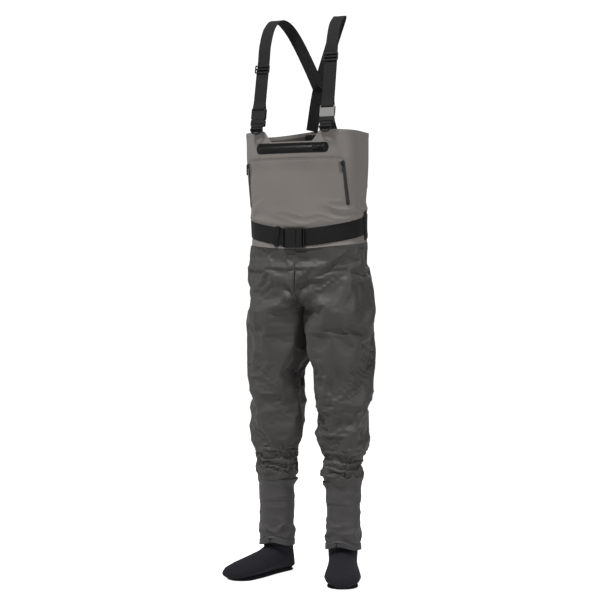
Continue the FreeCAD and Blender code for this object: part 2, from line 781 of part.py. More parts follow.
def build_parts():
    parts = {
        "bib_front_panel": bib_half(-179.9, -0.1),
        "bib_back_panel": bib_half(0.1, 179.9),
        "handwarmer_pocket_panel": handwarmer_panel(),
        "chest_pocket_bag": chest_pocket_bag(),
        "chest_zip_garage": chest_zip_garage(),
        "chest_zip_tape": chest_zip_tape(),
        "chest_zip_slider": on_chest(zip_slider()),
        "chest_zip_pull": on_chest(zip_pull()),
        "waist_panel": waist_panel(),
        "strap_cross_patch": strap_cross_patch(),
        "rear_strap_anchors": rear_strap_anchors(),
        "belt_webbing": belt_webbing(),
        "belt_loops": belt_loops(),
        "belt_keeper": belt_keeper(),
        "belt_buckle_socket": on_belt(buckle_socket(BELT_BUCKLE)),
        "belt_buckle_plug": on_belt(buckle_plug(BELT_BUCKLE)),
        "belt_buckle_arm_upper": on_belt(buckle_arm(BELT_BUCKLE)),
        "belt_buckle_arm_lower": on_belt(mirrored(buckle_arm(BELT_BUCKLE))),
    }
    both_sides(parts, "pocket_zip_tape", side_zip_tape())
    both_sides(parts, "pocket_zip_slider", on_side_zip(zip_slider()))
    both_sides(parts, "pocket_zip_pull", on_side_zip(zip_pull()))
    both_sides(parts, "hip_panel", leg_panel(THIGH_TOP, HIP_LINE, 8))
    both_sides(parts, "thigh_panel", leg_panel(KNEE_TOP, THIGH_TOP, 4))
    both_sides(parts, "knee_panel", leg_panel(KNEE_BOTTOM, KNEE_TOP, 6))
    both_sides(parts, "calf_panel", leg_panel(LINER_BOTTOM, KNEE_BOTTOM, 12))
    both_sides(parts, "gravel_guard", gravel_guard())
    both_sides(parts, "ankle", ankle_sleeve())
    both_sides(parts, "sock_foot", sock_foot())
    both_sides(parts, "sock_sole", sock_sole())
    both_sides(parts, "lace_hook", lace_hook())
    both_sides(parts, "front_tab", front_tab())
    both_sides(parts, "d_ring", d_ring())
    mouth = STRAP_BUCKLE_MOUTH
    both_sides(parts, "buckle_socket", on_front_run(buckle_socket(STRAP_BUCKLE), mouth))
    both_sides(parts, "buckle_plug", on_front_run(buckle_plug(STRAP_BUCKLE), mouth))
    both_sides(parts, "buckle_arm_outer", on_front_run(buckle_arm(STRAP_BUCKLE), mouth))
    both_sides(parts, "buckle_arm_inner",
               on_front_run(mirrored(buckle_arm(STRAP_BUCKLE)), mouth))
    parts["left_strap_rear"] = strap_rear("left")
    parts["right_strap_rear"] = mirrored(strap_rear("right"))
    for side in ("left", "right"):
        shape = strap_front(side)
        slide = adjuster(side)
        parts[side + "_strap_front"] = shape if side == "left" else mirrored(shape)
        parts[side + "_adjuster"] = slide if side == "left" else mirrored(slide)
    return parts


def whole_box(parts):
    box = FreeCAD.BoundBox()
    for shape in parts.values():
        box.add(shape.optimalBoundingBox(True, False))
    return box


PARTS = build_parts()
BOX = whole_box(PARTS)
FRAME_SHIFT = Vector(-BOX.Center.x, -BOX.Center.y, -BOX.ZMin)

os.makedirs("parts", exist_ok=True)
for part_name, part_shape in PARTS.items():
    part_shape.translate(FRAME_SHIFT)
    part_shape.exportStep("parts/" + part_name + ".step")
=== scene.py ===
import json
import math

import bpy
import numpy as np
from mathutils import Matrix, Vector, noise
from mathutils.bvhtree import BVHTree


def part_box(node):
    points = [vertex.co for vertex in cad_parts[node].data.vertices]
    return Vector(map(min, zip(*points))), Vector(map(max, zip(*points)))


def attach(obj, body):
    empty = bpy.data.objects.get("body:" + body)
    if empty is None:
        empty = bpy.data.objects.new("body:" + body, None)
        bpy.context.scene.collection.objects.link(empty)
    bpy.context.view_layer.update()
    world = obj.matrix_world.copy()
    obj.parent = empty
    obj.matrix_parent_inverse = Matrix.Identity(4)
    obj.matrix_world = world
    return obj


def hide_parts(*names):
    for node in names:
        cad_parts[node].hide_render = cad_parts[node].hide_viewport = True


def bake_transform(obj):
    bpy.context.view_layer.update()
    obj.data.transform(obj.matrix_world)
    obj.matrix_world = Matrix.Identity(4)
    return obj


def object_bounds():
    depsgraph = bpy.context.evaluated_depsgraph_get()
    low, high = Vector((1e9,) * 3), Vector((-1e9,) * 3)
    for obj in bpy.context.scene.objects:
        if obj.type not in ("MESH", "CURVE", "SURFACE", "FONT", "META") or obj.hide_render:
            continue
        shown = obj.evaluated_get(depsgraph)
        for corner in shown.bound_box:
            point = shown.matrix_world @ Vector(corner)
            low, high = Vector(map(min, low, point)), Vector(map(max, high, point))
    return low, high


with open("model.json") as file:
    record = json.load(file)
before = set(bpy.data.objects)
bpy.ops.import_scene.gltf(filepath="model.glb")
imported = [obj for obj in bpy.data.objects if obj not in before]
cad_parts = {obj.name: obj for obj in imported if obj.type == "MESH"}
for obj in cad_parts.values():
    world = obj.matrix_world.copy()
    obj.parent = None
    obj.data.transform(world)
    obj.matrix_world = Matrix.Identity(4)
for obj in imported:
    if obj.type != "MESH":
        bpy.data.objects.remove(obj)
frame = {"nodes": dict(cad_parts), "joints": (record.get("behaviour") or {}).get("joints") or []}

# Chest waders. Metres, +Z up, front -Y, the wearer's left is +X.
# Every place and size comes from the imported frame; the numbers below are
# the cloth's own: how it is sewn, how it folds and how it looks.

CAD_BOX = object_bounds()
JOINTS = {joint["name"]: joint for joint in frame["joints"]}
SIDES = {"left": 1.0, "right": -1.0}

CLOTH = 0.0016            # shell fabric
WEB = 0.0018              # webbing
HEM = 0.012               # turned hem of the bib's top edge
SQUARE_TOP = 3.3          # power of the bib's rounded-square plan at the top
SQUARE_WAIST = 2.55
SQUARE_HIPS = 2.25


# ------------------------------------------------------------------ frame

def tree_of(names):
    """One search tree over several CAD nodes."""
    vertices = []
    faces = []
    for name in names:
        mesh = frame["nodes"][name].data
        start = len(vertices)
        vertices += [vertex.co.copy() for vertex in mesh.vertices]
        faces += [[start + i for i in face.vertices] for face in mesh.polygons]
    return BVHTree.FromPolygons(vertices, faces)


def reach(tree, centre, way, height):
    """Distance from an upright axis to the outermost surface along one way."""
    for lift in (0.0, 0.002, -0.002, 0.004, -0.004, 0.008, -0.008):
        for turn in (0.0, 0.02, -0.02):
            side = Vector((-way[1], way[0])) * turn
            start = Vector((centre[0] + way[0] * 0.5, centre[1] + way[1] * 0.5, height + lift))
            aim = Vector((-way[0] + side[0] * 0.01, -way[1] + side[1] * 0.01, 0.0))
            hit = tree.ray_cast(start + Vector((side[0] * 0.3, side[1] * 0.3, 0)), aim)
            if hit[0] is not None:
                return abs((hit[0].x - centre[0]) * way[0] + (hit[0].y - centre[1]) * way[1])
    return None


class Profile:
    """Half width, half depth and middle of a tube of CAD nodes, by height."""

    def __init__(self, names, centre, low, high, count):
        tree = tree_of(names)
        rows = []
        for height in np.linspace(low, high, count):
            spans = [reach(tree, centre, way, height) for way in ((1, 0), (-1, 0), (0, 1), (0, -1))]
            if None in spans:
                continue
            east, west, north, south = spans
            rows.append((height, centre[0] + (east - west) / 2, centre[1] + (north - south) / 2,
                         (east + west) / 2, (north + south) / 2))
        self.rows = np.array(rows)

    def at(self, height):
        return [np.interp(height, self.rows[:, 0], self.rows[:, k]) for k in range(1, 5)]


def low_of(node):
    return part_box(node)[0]


def high_of(node):
    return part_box(node)[1]


def middle_of(node):
    low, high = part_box(node)
    return (low + high) / 2


HIP = Vector(JOINTS["left_hip"]["pos_m"])
KNEE = Vector(JOINTS["left_knee"]["pos_m"])
ANKLE = Vector(JOINTS["left_ankle"]["pos_m"])
BODY_Y = middle_of("waist_panel").y
BODY_Y_AXIS = (CAD_BOX[0][1] + CAD_BOX[1][1]) / 2 + 0.0205
WAIST_FRONT = high_of("waist_panel").z - 0.040
WAIST_BACK = high_of("waist_panel").z
BIB_SIDE = high_of("bib_front_panel").z
BIB_BACK = high_of("bib_back_panel").z
GUARD_TOP = high_of("left_gravel_guard").z
GUARD_LOW = low_of("left_gravel_guard").z
CROTCH = HIP.z - 0.090
HIP_LINE = high_of("left_hip_panel").z

torso = Profile(["bib_front_panel", "bib_back_panel", "waist_panel"], (0.0, BODY_Y),
                low_of("waist_panel").z + 0.004, BIB_SIDE - 0.040, 40)
hips = Profile(["left_hip_panel", "right_hip_panel"], (0.0, BODY_Y),
               CROTCH + 0.050, HIP_LINE - 0.004, 10)
leg = Profile(["left_hip_panel", "left_thigh_panel", "left_knee_panel", "left_calf_panel"],
              (ANKLE.x, ANKLE.y), ANKLE.z + 0.070, CROTCH - 0.005, 70)
guard = Profile(["left_gravel_guard"], (ANKLE.x, ANKLE.y), GUARD_LOW + 0.002, GUARD_TOP - 0.002, 16)


# ------------------------------------------------------------- small maths

def smooth(low, high, value):
    """0 below low, 1 above high, eased between."""
    t = np.clip((np.asarray(value, float) - low) / (high - low), 0.0, 1.0)
    return t * t * (3.0 - 2.0 * t)


def bump(value, centre, width):
    return np.exp(-((np.asarray(value, float) - centre) / width) ** 2)


def noise_field(points, scale, seed):
    """Smooth noise, about -1 to 1, at each point; scale is 1 / metres per axis."""
    flat = points.reshape(-1, 3)
    shift = Vector((seed * 3.17, seed * 1.91, seed * 2.63))
    sx, sy, sz = scale
    values = [noise.noise(Vector((x * sx, y * sy, z * sz)) + shift) for x, y, z in flat.tolist()]
    return np.array(values).reshape(points.shape[:-1])


def creases(points, scale, seed, power=1.0):
    """Ridged noise: rounded swells between sharper valleys, 0 to 1."""
    field = 1.0 - np.abs(noise_field(points, scale, seed)) * 2.2
    return np.clip(field, 0.0, 1.0) ** power


def grid_normals(grid, closed):
    if closed:
        around = np.roll(grid, -1, axis=1) - np.roll(grid, 1, axis=1)
    else:
        around = np.gradient(grid, axis=1)
    up = np.gradient(grid, axis=0)
    normals = np.cross(around, up)
    length = np.linalg.norm(normals, axis=2, keepdims=True)
    return normals / np.maximum(length, 1e-12)


# ------------------------------------------------------------ mesh making

def new_object(name, vertices, faces, uvs=None, face_materials=None, normals=None, smooth_faces=True):
    mesh = bpy.data.meshes.new(name)
    mesh.from_pydata([tuple(v) for v in vertices], [], faces)
    if face_materials is not None:
        mesh.polygons.foreach_set("material_index", face_materials)
    mesh.polygons.foreach_set("use_smooth", [smooth_faces] * len(mesh.polygons))
    if uvs is not None:
        layer = mesh.uv_layers.new(name="UVMap")
        layer.data.foreach_set("uv", np.asarray(uvs, float).ravel())
    mesh.validate()
    if normals is not None:
        mesh.normals_split_custom_set_from_vertices([tuple(n) for n in normals])
    item = bpy.data.objects.new(name, mesh)
    bpy.context.scene.collection.objects.link(item)
    return item


def sheet(name, grid, materials, uv=None, closed=True, thick=CLOTH, normals=None, rim=0):
    """A cloth sheet with two faces and closed rims, from rows of outer points.

    Rows run upward and points run the way that makes the outside face out.
    materials are (outside, inside)."""
    rows, columns = grid.shape[:2]
    if normals is None:
        normals = grid_normals(grid, closed)
    inner = grid - normals * thick
    vertices = np.concatenate([grid.reshape(-1, 3), inner.reshape(-1, 3)])
    count = rows * columns
    spans = columns if closed else columns - 1
    if uv is None:
        across = np.linalg.norm(np.diff(grid, axis=1, append=grid[:, :1]), axis=2)
        lengths = np.concatenate([[0.0], np.cumsum(across.mean(axis=0))])
        rise = np.linalg.norm(np.diff(grid, axis=0), axis=2).mean(axis=1)
        heights = np.concatenate([[0.0], np.cumsum(rise)])
        uv = np.stack(np.meshgrid(lengths, heights), axis=2)
    faces = []
    uvs = []
    slots = []
    for i in range(rows - 1):
        for j in range(spans):
            k = (j + 1) % columns
            a, b = i * columns + j, i * columns + k
            c, d = b + columns, a + columns
            beside = j + 1 if closed else k
            corner = [uv[i, j], uv[i, beside], uv[i + 1, beside], uv[i + 1, j]]
            faces.append((a, b, c, d))
            uvs += corner
            slots.append(0)
            faces.append((d + count, c + count, b + count, a + count))
            uvs += corner[::-1]
            slots.append(1)
    for j in range(spans):
        k = (j + 1) % columns
        top = (rows - 1) * columns
        faces.append((j + count, k + count, k, j))
        faces.append((top + j, top + k, top + k + count, top + j + count))
        uvs += [uv[0, j]] * 4 + [uv[-1, j]] * 4
        slots += [rim, rim]
    if not closed:
        for i in range(rows - 1):
            a, d = i * columns, (i + 1) * columns
            faces.append((a, d, d + count, a + count))
            b, c = a + columns - 1, d + columns - 1
            faces.append((b, b + count, c + count, c))
            uvs += [uv[i, 0]] * 4 + [uv[i, -1]] * 4
            slots += [rim, rim]
    both = np.concatenate([normals.reshape(-1, 3), -normals.reshape(-1, 3)])
    item = new_object(name, vertices, faces, uvs, slots, both)
    for material in materials:
        item.data.materials.append(material)
    return item


def frames_along(path, across_hint):
    """Unit run, across and face directions at each point of a path."""
    run = np.gradient(path, axis=0)
    run /= np.linalg.norm(run, axis=1, keepdims=True)
    hint = np.asarray(across_hint, float)
    if hint.ndim == 1:
        hint = np.tile(hint, (len(path), 1))
    across = hint - run * np.sum(hint * run, axis=1, keepdims=True)
    across /= np.linalg.norm(across, axis=1, keepdims=True)
    return run, across, np.cross(across, run)


def ribbon(name, path, across_hint, width, material, thick=WEB, belly=0.0):
    """Webbing along a path. belly bows the middle of the ribbon along its face."""
    path = np.asarray(path, float)
    run, across, face = frames_along(path, across_hint)
    half = width / 2 - thick / 2
    columns = 13
    outline = []
    for step in range(columns):
        share = step / (columns - 1)
        outline.append(((2 * share - 1) * half, thick / 2))
    outline.append((half + thick / 2, 0.0))
    for step in range(columns):
        share = step / (columns - 1)
        outline.append(((1 - 2 * share) * half, -thick / 2))
    outline.append((-half - thick / 2, 0.0))
    rings = []
    for a, f in outline:
        bow = belly * (1.0 - (2 * a / width) ** 2)
        rings.append(path + across * a + face * (f + bow))
    grid = np.stack(rings, axis=1)
    rows, count = grid.shape[:2]
    lengths = np.concatenate([[0.0], np.cumsum(np.linalg.norm(np.diff(path, axis=0), axis=1))])
    faces = []
    uvs = []
    places = [a for a, _ in outline]
    for i in range(rows - 1):
        for j in range(count):
            k = (j + 1) % count
            faces.append((i * count + k, i * count + j, (i + 1) * count + j, (i + 1) * count + k))
            uvs += [(places[k], lengths[i]), (places[j], lengths[i]),
                    (places[j], lengths[i + 1]), (places[k], lengths[i + 1])]
    faces.append(tuple(range(count)))
    faces.append(tuple((rows - 1) * count + j for j in reversed(range(count))))
    uvs += [(places[j], lengths[0]) for j in range(count)]
    uvs += [(places[j], lengths[-1]) for j in reversed(range(count))]
    item = new_object(name, grid.reshape(-1, 3), faces, uvs)
    item.data.materials.append(material)
    return item


def curve_path(points, count):
    """A smooth path through points (Catmull-Rom), evenly sampled."""
    points = [np.asarray(p, float) for p in points]
    ends = [2 * points[0] - points[1]] + points + [2 * points[-1] - points[-2]]
    dense = []
    for i in range(1, len(ends) - 2):
        p0, p1, p2, p3 = ends[i - 1:i + 3]
        for step in range(24):
            t = step / 24
            dense.append(0.5 * (2 * p1 + (p2 - p0) * t + (2 * p0 - 5 * p1 + 4 * p2 - p3) * t ** 2
                                + (3 * p1 - p0 - 3 * p2 + p3) * t ** 3))
    dense.append(points[-1])
    dense = np.array(dense)
    lengths = np.concatenate([[0.0], np.cumsum(np.linalg.norm(np.diff(dense, axis=0), axis=1))])
    at = np.linspace(0.0, lengths[-1], count)
    return np.stack([np.interp(at, lengths, dense[:, k]) for k in range(3)], axis=1)


# -------------------------------------------------------------- materials

def srgb(red, green, blue):
    """A display colour, 0 to 255, as linear light."""
    linear = []
    for channel in (red, green, blue):
        c = channel / 255.0
        linear.append(c / 12.92 if c <= 0.04045 else ((c + 0.055) / 1.055) ** 2.4)
    return linear


class Nodes:
    """A small helper for building a material's node tree."""

    def __init__(self, name):
        self.material = bpy.data.materials.new(name)
        self.material.use_nodes = True
        self.tree = self.material.node_tree
        self.shader = self.tree.nodes["Principled BSDF"]

    def add(self, kind, **values):
        node = self.tree.nodes.new(kind)
        for key, value in values.items():
            if hasattr(node, key):
                setattr(node, key, value)
            else:
                node.inputs[key.replace("_", " ")].default_value = value
        return node

    def link(self, out, into):
        self.tree.links.new(out, into)

    def math(self, operation, first, second=None):
        node = self.add("ShaderNodeMath", operation=operation)
        for slot, value in ((0, first), (1, second)):
            if value is None:
                continue
            if isinstance(value, (int, float)):
                node.inputs[slot].default_value = value
            else:
                self.link(value, node.inputs[slot])
        return node.outputs[0]

    def mix(self, share, first, second):
        node = self.add("ShaderNodeMix", data_type="RGBA")
        for slot, value in ((0, share), (6, first), (7, second)):
            if isinstance(value, (int, float)):
                node.inputs[slot].default_value = value
            elif isinstance(value, (list, tuple)):
                node.inputs[slot].default_value = (*value[:3], 1.0)
            else:
                self.link(value, node.inputs[slot])
        return node.outputs[2]

    def noise(self, vector, scale, detail=3.0):
        node = self.add("ShaderNodeTexNoise", Scale=scale, Detail=detail)
        self.link(vector, node.inputs["Vector"])
        return node.outputs["Fac"]

    def wave(self, vector, direction, scale, distortion=0.0):
        node = self.add("ShaderNodeTexWave", bands_direction=direction, Scale=scale, Distortion=distortion)
        self.link(vector, node.inputs["Vector"])
        return node.outputs["Fac"]

    def bump(self, height, strength, distance, below=None):
        node = self.add("ShaderNodeBump", Strength=strength, Distance=distance)
        self.link(height, node.inputs["Height"])
        if below is not None:
            self.link(below, node.inputs["Normal"])
        return node.outputs["Normal"]


def wave_scale(period):
    """Scale of a band texture whose bands repeat every period metres."""
    return 2 * math.pi / (20.0 * period)


def shell_material(name, colour, shade, weave=0.0009, rough=0.6, sheen=0.06):
    """Laminated ripstop shell: fine plain weave, soft blotches and scuffs."""
    n = Nodes(name)
    uv = n.add("ShaderNodeTexCoord").outputs["UV"]
    place = n.add("ShaderNodeTexCoord").outputs["Object"]
    blotch = n.noise(place, 9.0, 5.0)
    fine = n.noise(place, 160.0, 3.0)
    tone = n.math("ADD", n.math("MULTIPLY", blotch, 0.75), n.math("MULTIPLY", fine, 0.25))
    cloth = n.mix(tone, [c * (1.0 - shade) for c in colour], [c * (1.0 + shade) for c in colour])
    warp = n.wave(uv, "X", wave_scale(weave))
    weft = n.wave(uv, "Y", wave_scale(weave))
    threads = n.math("MAXIMUM", warp, weft)
    cloth = n.mix(n.math("MULTIPLY", threads, 0.16), cloth, [c * 1.6 for c in colour])
    n.link(cloth, n.shader.inputs["Base Color"])
    roughness = n.math("ADD", n.math("MULTIPLY", blotch, 0.22), rough - 0.11)
    n.link(roughness, n.shader.inputs["Roughness"])
    grain = n.bump(threads, 0.25, 0.0002)
    n.link(n.bump(n.noise(place, 55.0, 4.0), 0.12, 0.002, grain), n.shader.inputs["Normal"])
    n.shader.inputs["Sheen Weight"].default_value = sheen
    n.shader.inputs["Sheen Roughness"].default_value = 0.5
    n.shader.inputs["Specular IOR Level"].default_value = 0.4
    return n.material


def web_material(name, colour, rib=0.0016):
    """Woven webbing: cross ribs and herringbone."""
    n = Nodes(name)
    uv = n.add("ShaderNodeTexCoord").outputs["UV"]
    split = n.add("ShaderNodeSeparateXYZ")
    n.link(uv, split.inputs[0])
    ribs = n.wave(uv, "Y", wave_scale(rib), 0.4)
    twill = n.wave(uv, "DIAGONAL", wave_scale(rib * 1.3), 0.3)
    height = n.math("ADD", n.math("MULTIPLY", ribs, 0.6), n.math("MULTIPLY", twill, 0.4))
    dust = n.noise(uv, 300.0, 3.0)
    tone = n.math("MULTIPLY", n.math("ADD", height, dust), 0.5)
    n.link(n.mix(tone, [c * 0.55 for c in colour], [c * 1.5 for c in colour]), n.shader.inputs["Base Color"])
    n.shader.inputs["Roughness"].default_value = 0.78
    n.shader.inputs["Sheen Weight"].default_value = 0.03
    n.shader.inputs["Specular IOR Level"].default_value = 0.2
    n.link(n.bump(height, 0.6, 0.0004), n.shader.inputs["Normal"])
    return n.material


def plastic_material(name, colour, rough, edge_highlight=0.3):
    """Moulded acetal: faint orange peel, with a painted highlight that makes the sharp edges paler."""
    n = Nodes(name)
    place = n.add("ShaderNodeTexCoord").outputs["Object"]
    peel = n.noise(place, 900.0, 2.0)
    cloud = n.noise(place, 60.0, 4.0)
    edges = n.add("ShaderNodeNewGeometry").outputs["Pointiness"]
    # painted highlight: sharp convex edges (pointiness above 0.56) are mixed towards a paler colour
    painted_edge_highlight = n.math("MULTIPLY", n.math("GREATER_THAN", edges, 0.56), edge_highlight)
    base = n.mix(cloud, [c * 0.85 for c in colour], [c * 1.2 for c in colour])
    n.link(n.mix(painted_edge_highlight, base, [min(1.0, c * 2.2 + 0.02) for c in colour]), n.shader.inputs["Base Color"])
    n.link(n.math("ADD", n.math("MULTIPLY", cloud, 0.14), rough - 0.07), n.shader.inputs["Roughness"])
    n.link(n.bump(peel, 0.15, 0.0002), n.shader.inputs["Normal"])
    n.shader.inputs["Specular IOR Level"].default_value = 0.2
    return n.material


def neoprene_material():
    """Jersey-faced neoprene: fine knit with a soft, matt pile."""
    n = Nodes("neoprene")
    uv = n.add("ShaderNodeTexCoord").outputs["UV"]
    place = n.add("ShaderNodeTexCoord").outputs["Object"]
    knit = n.wave(uv, "X", wave_scale(0.0011), 1.5)
    loops = n.wave(uv, "Y", wave_scale(0.0008), 1.0)
    height = n.math("MULTIPLY", knit, loops)
    lint = n.noise(place, 420.0, 3.0)
    cloud = n.noise(place, 14.0, 4.0)
    black = srgb(24, 24, 29)
    tone = n.math("ADD", n.math("MULTIPLY", lint, 0.5), n.math("MULTIPLY", cloud, 0.5))
    n.link(n.mix(tone, [c * 0.7 for c in black], [c * 1.8 for c in black]), n.shader.inputs["Base Color"])
    n.shader.inputs["Roughness"].default_value = 0.92
    n.shader.inputs["Specular IOR Level"].default_value = 0.15
    n.shader.inputs["Sheen Weight"].default_value = 0.03
    n.link(n.bump(height, 0.5, 0.0003), n.shader.inputs["Normal"])
    return n.material


BIB = shell_material("bib_shell", srgb(105, 100, 96), 0.05)
LEG = shell_material("leg_shell", srgb(51, 49, 48), 0.10)
GUARD = shell_material("guard_shell", srgb(55, 53, 54), 0.08)
LINING = shell_material("lining_mesh", srgb(58, 53, 49), 0.12, weave=0.0022, rough=0.8)
WEBBING = web_material("strap_webbing", srgb(19, 19, 19))
BELT_WEB = web_material("belt_webbing_weave", srgb(14, 14, 15), rib=0.0013)
# plastic_material paints a paler highlight on sharp edges; its last keyword sets how strong
BLACK_PLASTIC = plastic_material("black_acetal", srgb(9, 9, 10), 0.45)
GREY_PLASTIC = plastic_material("pale_acetal", srgb(104, 103, 102), 0.34)
WELD = plastic_material("weld_film", srgb(24, 23, 24), 0.45, edge_highlight=0.1)
ZIP_TAPE = shell_material("zip_film", srgb(24, 24, 24), 0.1, weave=0.0012, rough=0.45)
ENAMEL = plastic_material("black_enamel", srgb(11, 11, 11), 0.38, edge_highlight=0.4)
NEOPRENE = neoprene_material()
SOLE = plastic_material("sole_rubber", srgb(26, 26, 28), 0.75, edge_highlight=0.2)


# ------------------------------------------------------------ body shapes

def torso_power(height):
    return np.interp(height, [HIP.z, HIP.z + 0.14, BIB_SIDE - 0.10, BIB_SIDE],
                     [SQUARE_HIPS, SQUARE_WAIST, 3.1, SQUARE_TOP])


def torso_surface(angle, height, offset=0.0):
    """Points of the torso; angle 0 is the wearer's left, -90 degrees the front."""
    angle = np.radians(np.asarray(angle, float))
    height = np.asarray(height, float) + 0.0 * angle
    angle = angle + 0.0 * height
    above = np.maximum(height, HIP_LINE + 0.006)
    below = np.maximum(HIP_LINE - height, 0.0)
    _, centre_y, half_width, half_depth = torso.at(above)
    share = smooth(HIP_LINE - 0.030, HIP_LINE + 0.006, height)
    half_width = hips.at(height)[2] * (1.0 - share) + half_width * share
    half_depth = half_depth + 0.06 * below
    power = torso_power(height)
    wide = np.abs(np.cos(angle) / (half_width + offset)) ** power
    deep = np.abs(np.sin(angle) / (half_depth + offset)) ** power
    r = (wide + deep) ** (-1.0 / power)
    return np.stack([r * np.cos(angle), centre_y + r * np.sin(angle), height], axis=-1)


def waist_seam(angle):
    middle = (WAIST_FRONT + WAIST_BACK) / 2
    swing = (WAIST_BACK - WAIST_FRONT) / 2
    return middle + swing * np.sin(np.radians(angle))


def bib_edge(angle):
    """Height of the bib's top edge."""
    sine = np.sin(np.radians(angle))
    back = BIB_SIDE + (BIB_BACK - BIB_SIDE) * np.clip(sine, 0, 1) ** 2
    x = torso_surface(angle, BIB_SIDE)[..., 0]
    dip = 0.033 * smooth(0.090, 0.060, np.abs(x))
    return np.where(sine > 0, back, BIB_SIDE - dip)


def belt_fit():
    """Middle height, tilt and lean of the belt, fitted to its CAD node."""
    corners = np.array([tuple(v.co) for v in frame["nodes"]["belt_webbing"].data.vertices])
    angle = np.arctan2(corners[:, 1] - BODY_Y, corners[:, 0])
    terms = np.stack([np.ones(len(angle)), np.sin(angle), np.cos(angle)], axis=1)
    return np.linalg.lstsq(terms, corners[:, 2], rcond=None)[0]


BELT_FIT = belt_fit()


def belt_level(angle):
    swing = np.radians(angle)
    return BELT_FIT[0] + BELT_FIT[1] * np.sin(swing) + BELT_FIT[2] * np.cos(swing)


# -------------------------------------------------------------------- bib

ZIP_TOP = {}
ZIP_LOW = {}
for side in SIDES:
    low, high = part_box(side + "_pocket_zip_tape")
    run = SIDES[side]
    ZIP_TOP[side] = (low.x if run > 0 else high.x, high.z)
    ZIP_LOW[side] = (high.x if run > 0 else low.x, low.z)
YOKE = high_of("handwarmer_pocket_panel").z
PATCH_LOW, PATCH_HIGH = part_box("chest_zip_garage")
PATCH_Z = (PATCH_LOW.z + PATCH_HIGH.z) / 2
PATCH_HALF = (PATCH_HIGH.x, (PATCH_HIGH.z - PATCH_LOW.z) / 2)
GARAGE_TREE = tree_of(["chest_zip_garage"])


def zip_line_x(height):
    """How far out the hand-warmer zip and the seam under it run."""
    top, low = ZIP_TOP["left"], ZIP_LOW["left"]
    share = (top[1] - np.asarray(height, float)) / (top[1] - low[1])
    return (top[0] + 0.004) + (low[0] - top[0] - 0.008) * np.clip(share, -0.15, 1.6)


def patch_plane(x):
    """y of the outside of the chest patch, an upright cylinder."""
    hit = GARAGE_TREE.ray_cast(Vector((0.0, -0.5, PATCH_LOW.z + 0.004)), Vector((0.0, 1.0, 0.0)))
    radius = 0.7215
    return hit[0].y + radius - np.sqrt(radius ** 2 - np.asarray(x, float) ** 2)


def bib_folds(points, angle):
    """How far the bib's cloth swells out from its smooth shape."""
    x, y, z = points[..., 0], points[..., 1], points[..., 2]
    front = smooth(0.10, -0.02, y)
    out = np.zeros(x.shape)
    soft = noise_field(points, (9.0, 9.0, 3.2), 3)
    out += 0.0042 * soft * smooth(1.06, 1.12, z) * (1.0 - 0.75 * smooth(1.20, 1.25, z))
    out += 0.0016 * noise_field(points, (22.0, 22.0, 9.0), 8)
    left_bunch = np.clip(x / 0.17, 0, 1) ** 2
    gather = creases(points + np.stack([0 * x, 0 * x, 0.02 * noise_field(points, (14, 14, 5), 6)], -1),
                     (7.0, 7.0, 34.0), 11, 1.4)
    level = belt_level(angle)
    out += 0.0075 * gather * bump(z, level + 0.062, 0.034) * (0.35 + 0.65 * left_bunch)
    out += 0.0035 * bump(z, level + 0.034, 0.012)
    out += 0.0022 * bump(z, level - 0.034, 0.010)
    out -= 0.0012 * bump(z, level, 0.018)
    slant = noise_field(points + np.stack([z * 0.5, 0 * z, 0 * z], -1), (10.0, 10.0, 5.0), 17)
    out += 0.0022 * slant * front * bump(z, 1.13, 0.07)
    edge = bib_edge(angle)
    calm = smooth(0.0, 0.05, edge - z) * 0.8 + 0.2
    out *= calm
    from_belt = np.abs(z - level)
    out = np.minimum(out, 0.0012 + 0.0075 * smooth(0.0235, 0.036, from_belt))
    near_zip = np.exp(-((np.abs(x) - zip_line_x(z)) / 0.016) ** 2) * smooth(1.07, 1.09, z) * front
    out *= 1.0 - 0.92 * near_zip * smooth(1.225, 1.205, z)
    near_patch = smooth(0.045, 0.0, np.abs(z - PATCH_Z) - 0.004) * front
    near_patch = near_patch * smooth(0.03, 0.0, np.abs(x) - 0.112)
    out *= 1.0 - 0.9 * near_patch
    return out


def bib_points(angle, height, offset=0.0, folds=True):
    points = torso_surface(angle, height)
    step = 0.4
    around = torso_surface(angle + step, height) - torso_surface(angle - step, height)
    up = torso_surface(angle, height + 0.001) - torso_surface(angle, height - 0.001)
    normal = np.cross(around, up)
    normal /= np.linalg.norm(normal, axis=-1, keepdims=True)
    move = offset + (bib_folds(points, angle) if folds else 0.0)
    points = points + normal * move[..., None] if np.ndim(move) else points + normal * move
    x, z = points[..., 0], points[..., 2]
    lift = smooth(0.060, 0.0, np.abs(z - PATCH_Z) - 0.010) * smooth(0.045, 0.0, np.abs(x) - 0.105)
    lift = lift * (points[..., 1] < 0.0)
    target = patch_plane(np.clip(x, -0.16, 0.16)) + 0.0013 - offset
    points[..., 1] += lift * (target - points[..., 1])
    return points


BIB_GIRTH = 1.04          # length of cloth round the bib, for the weave


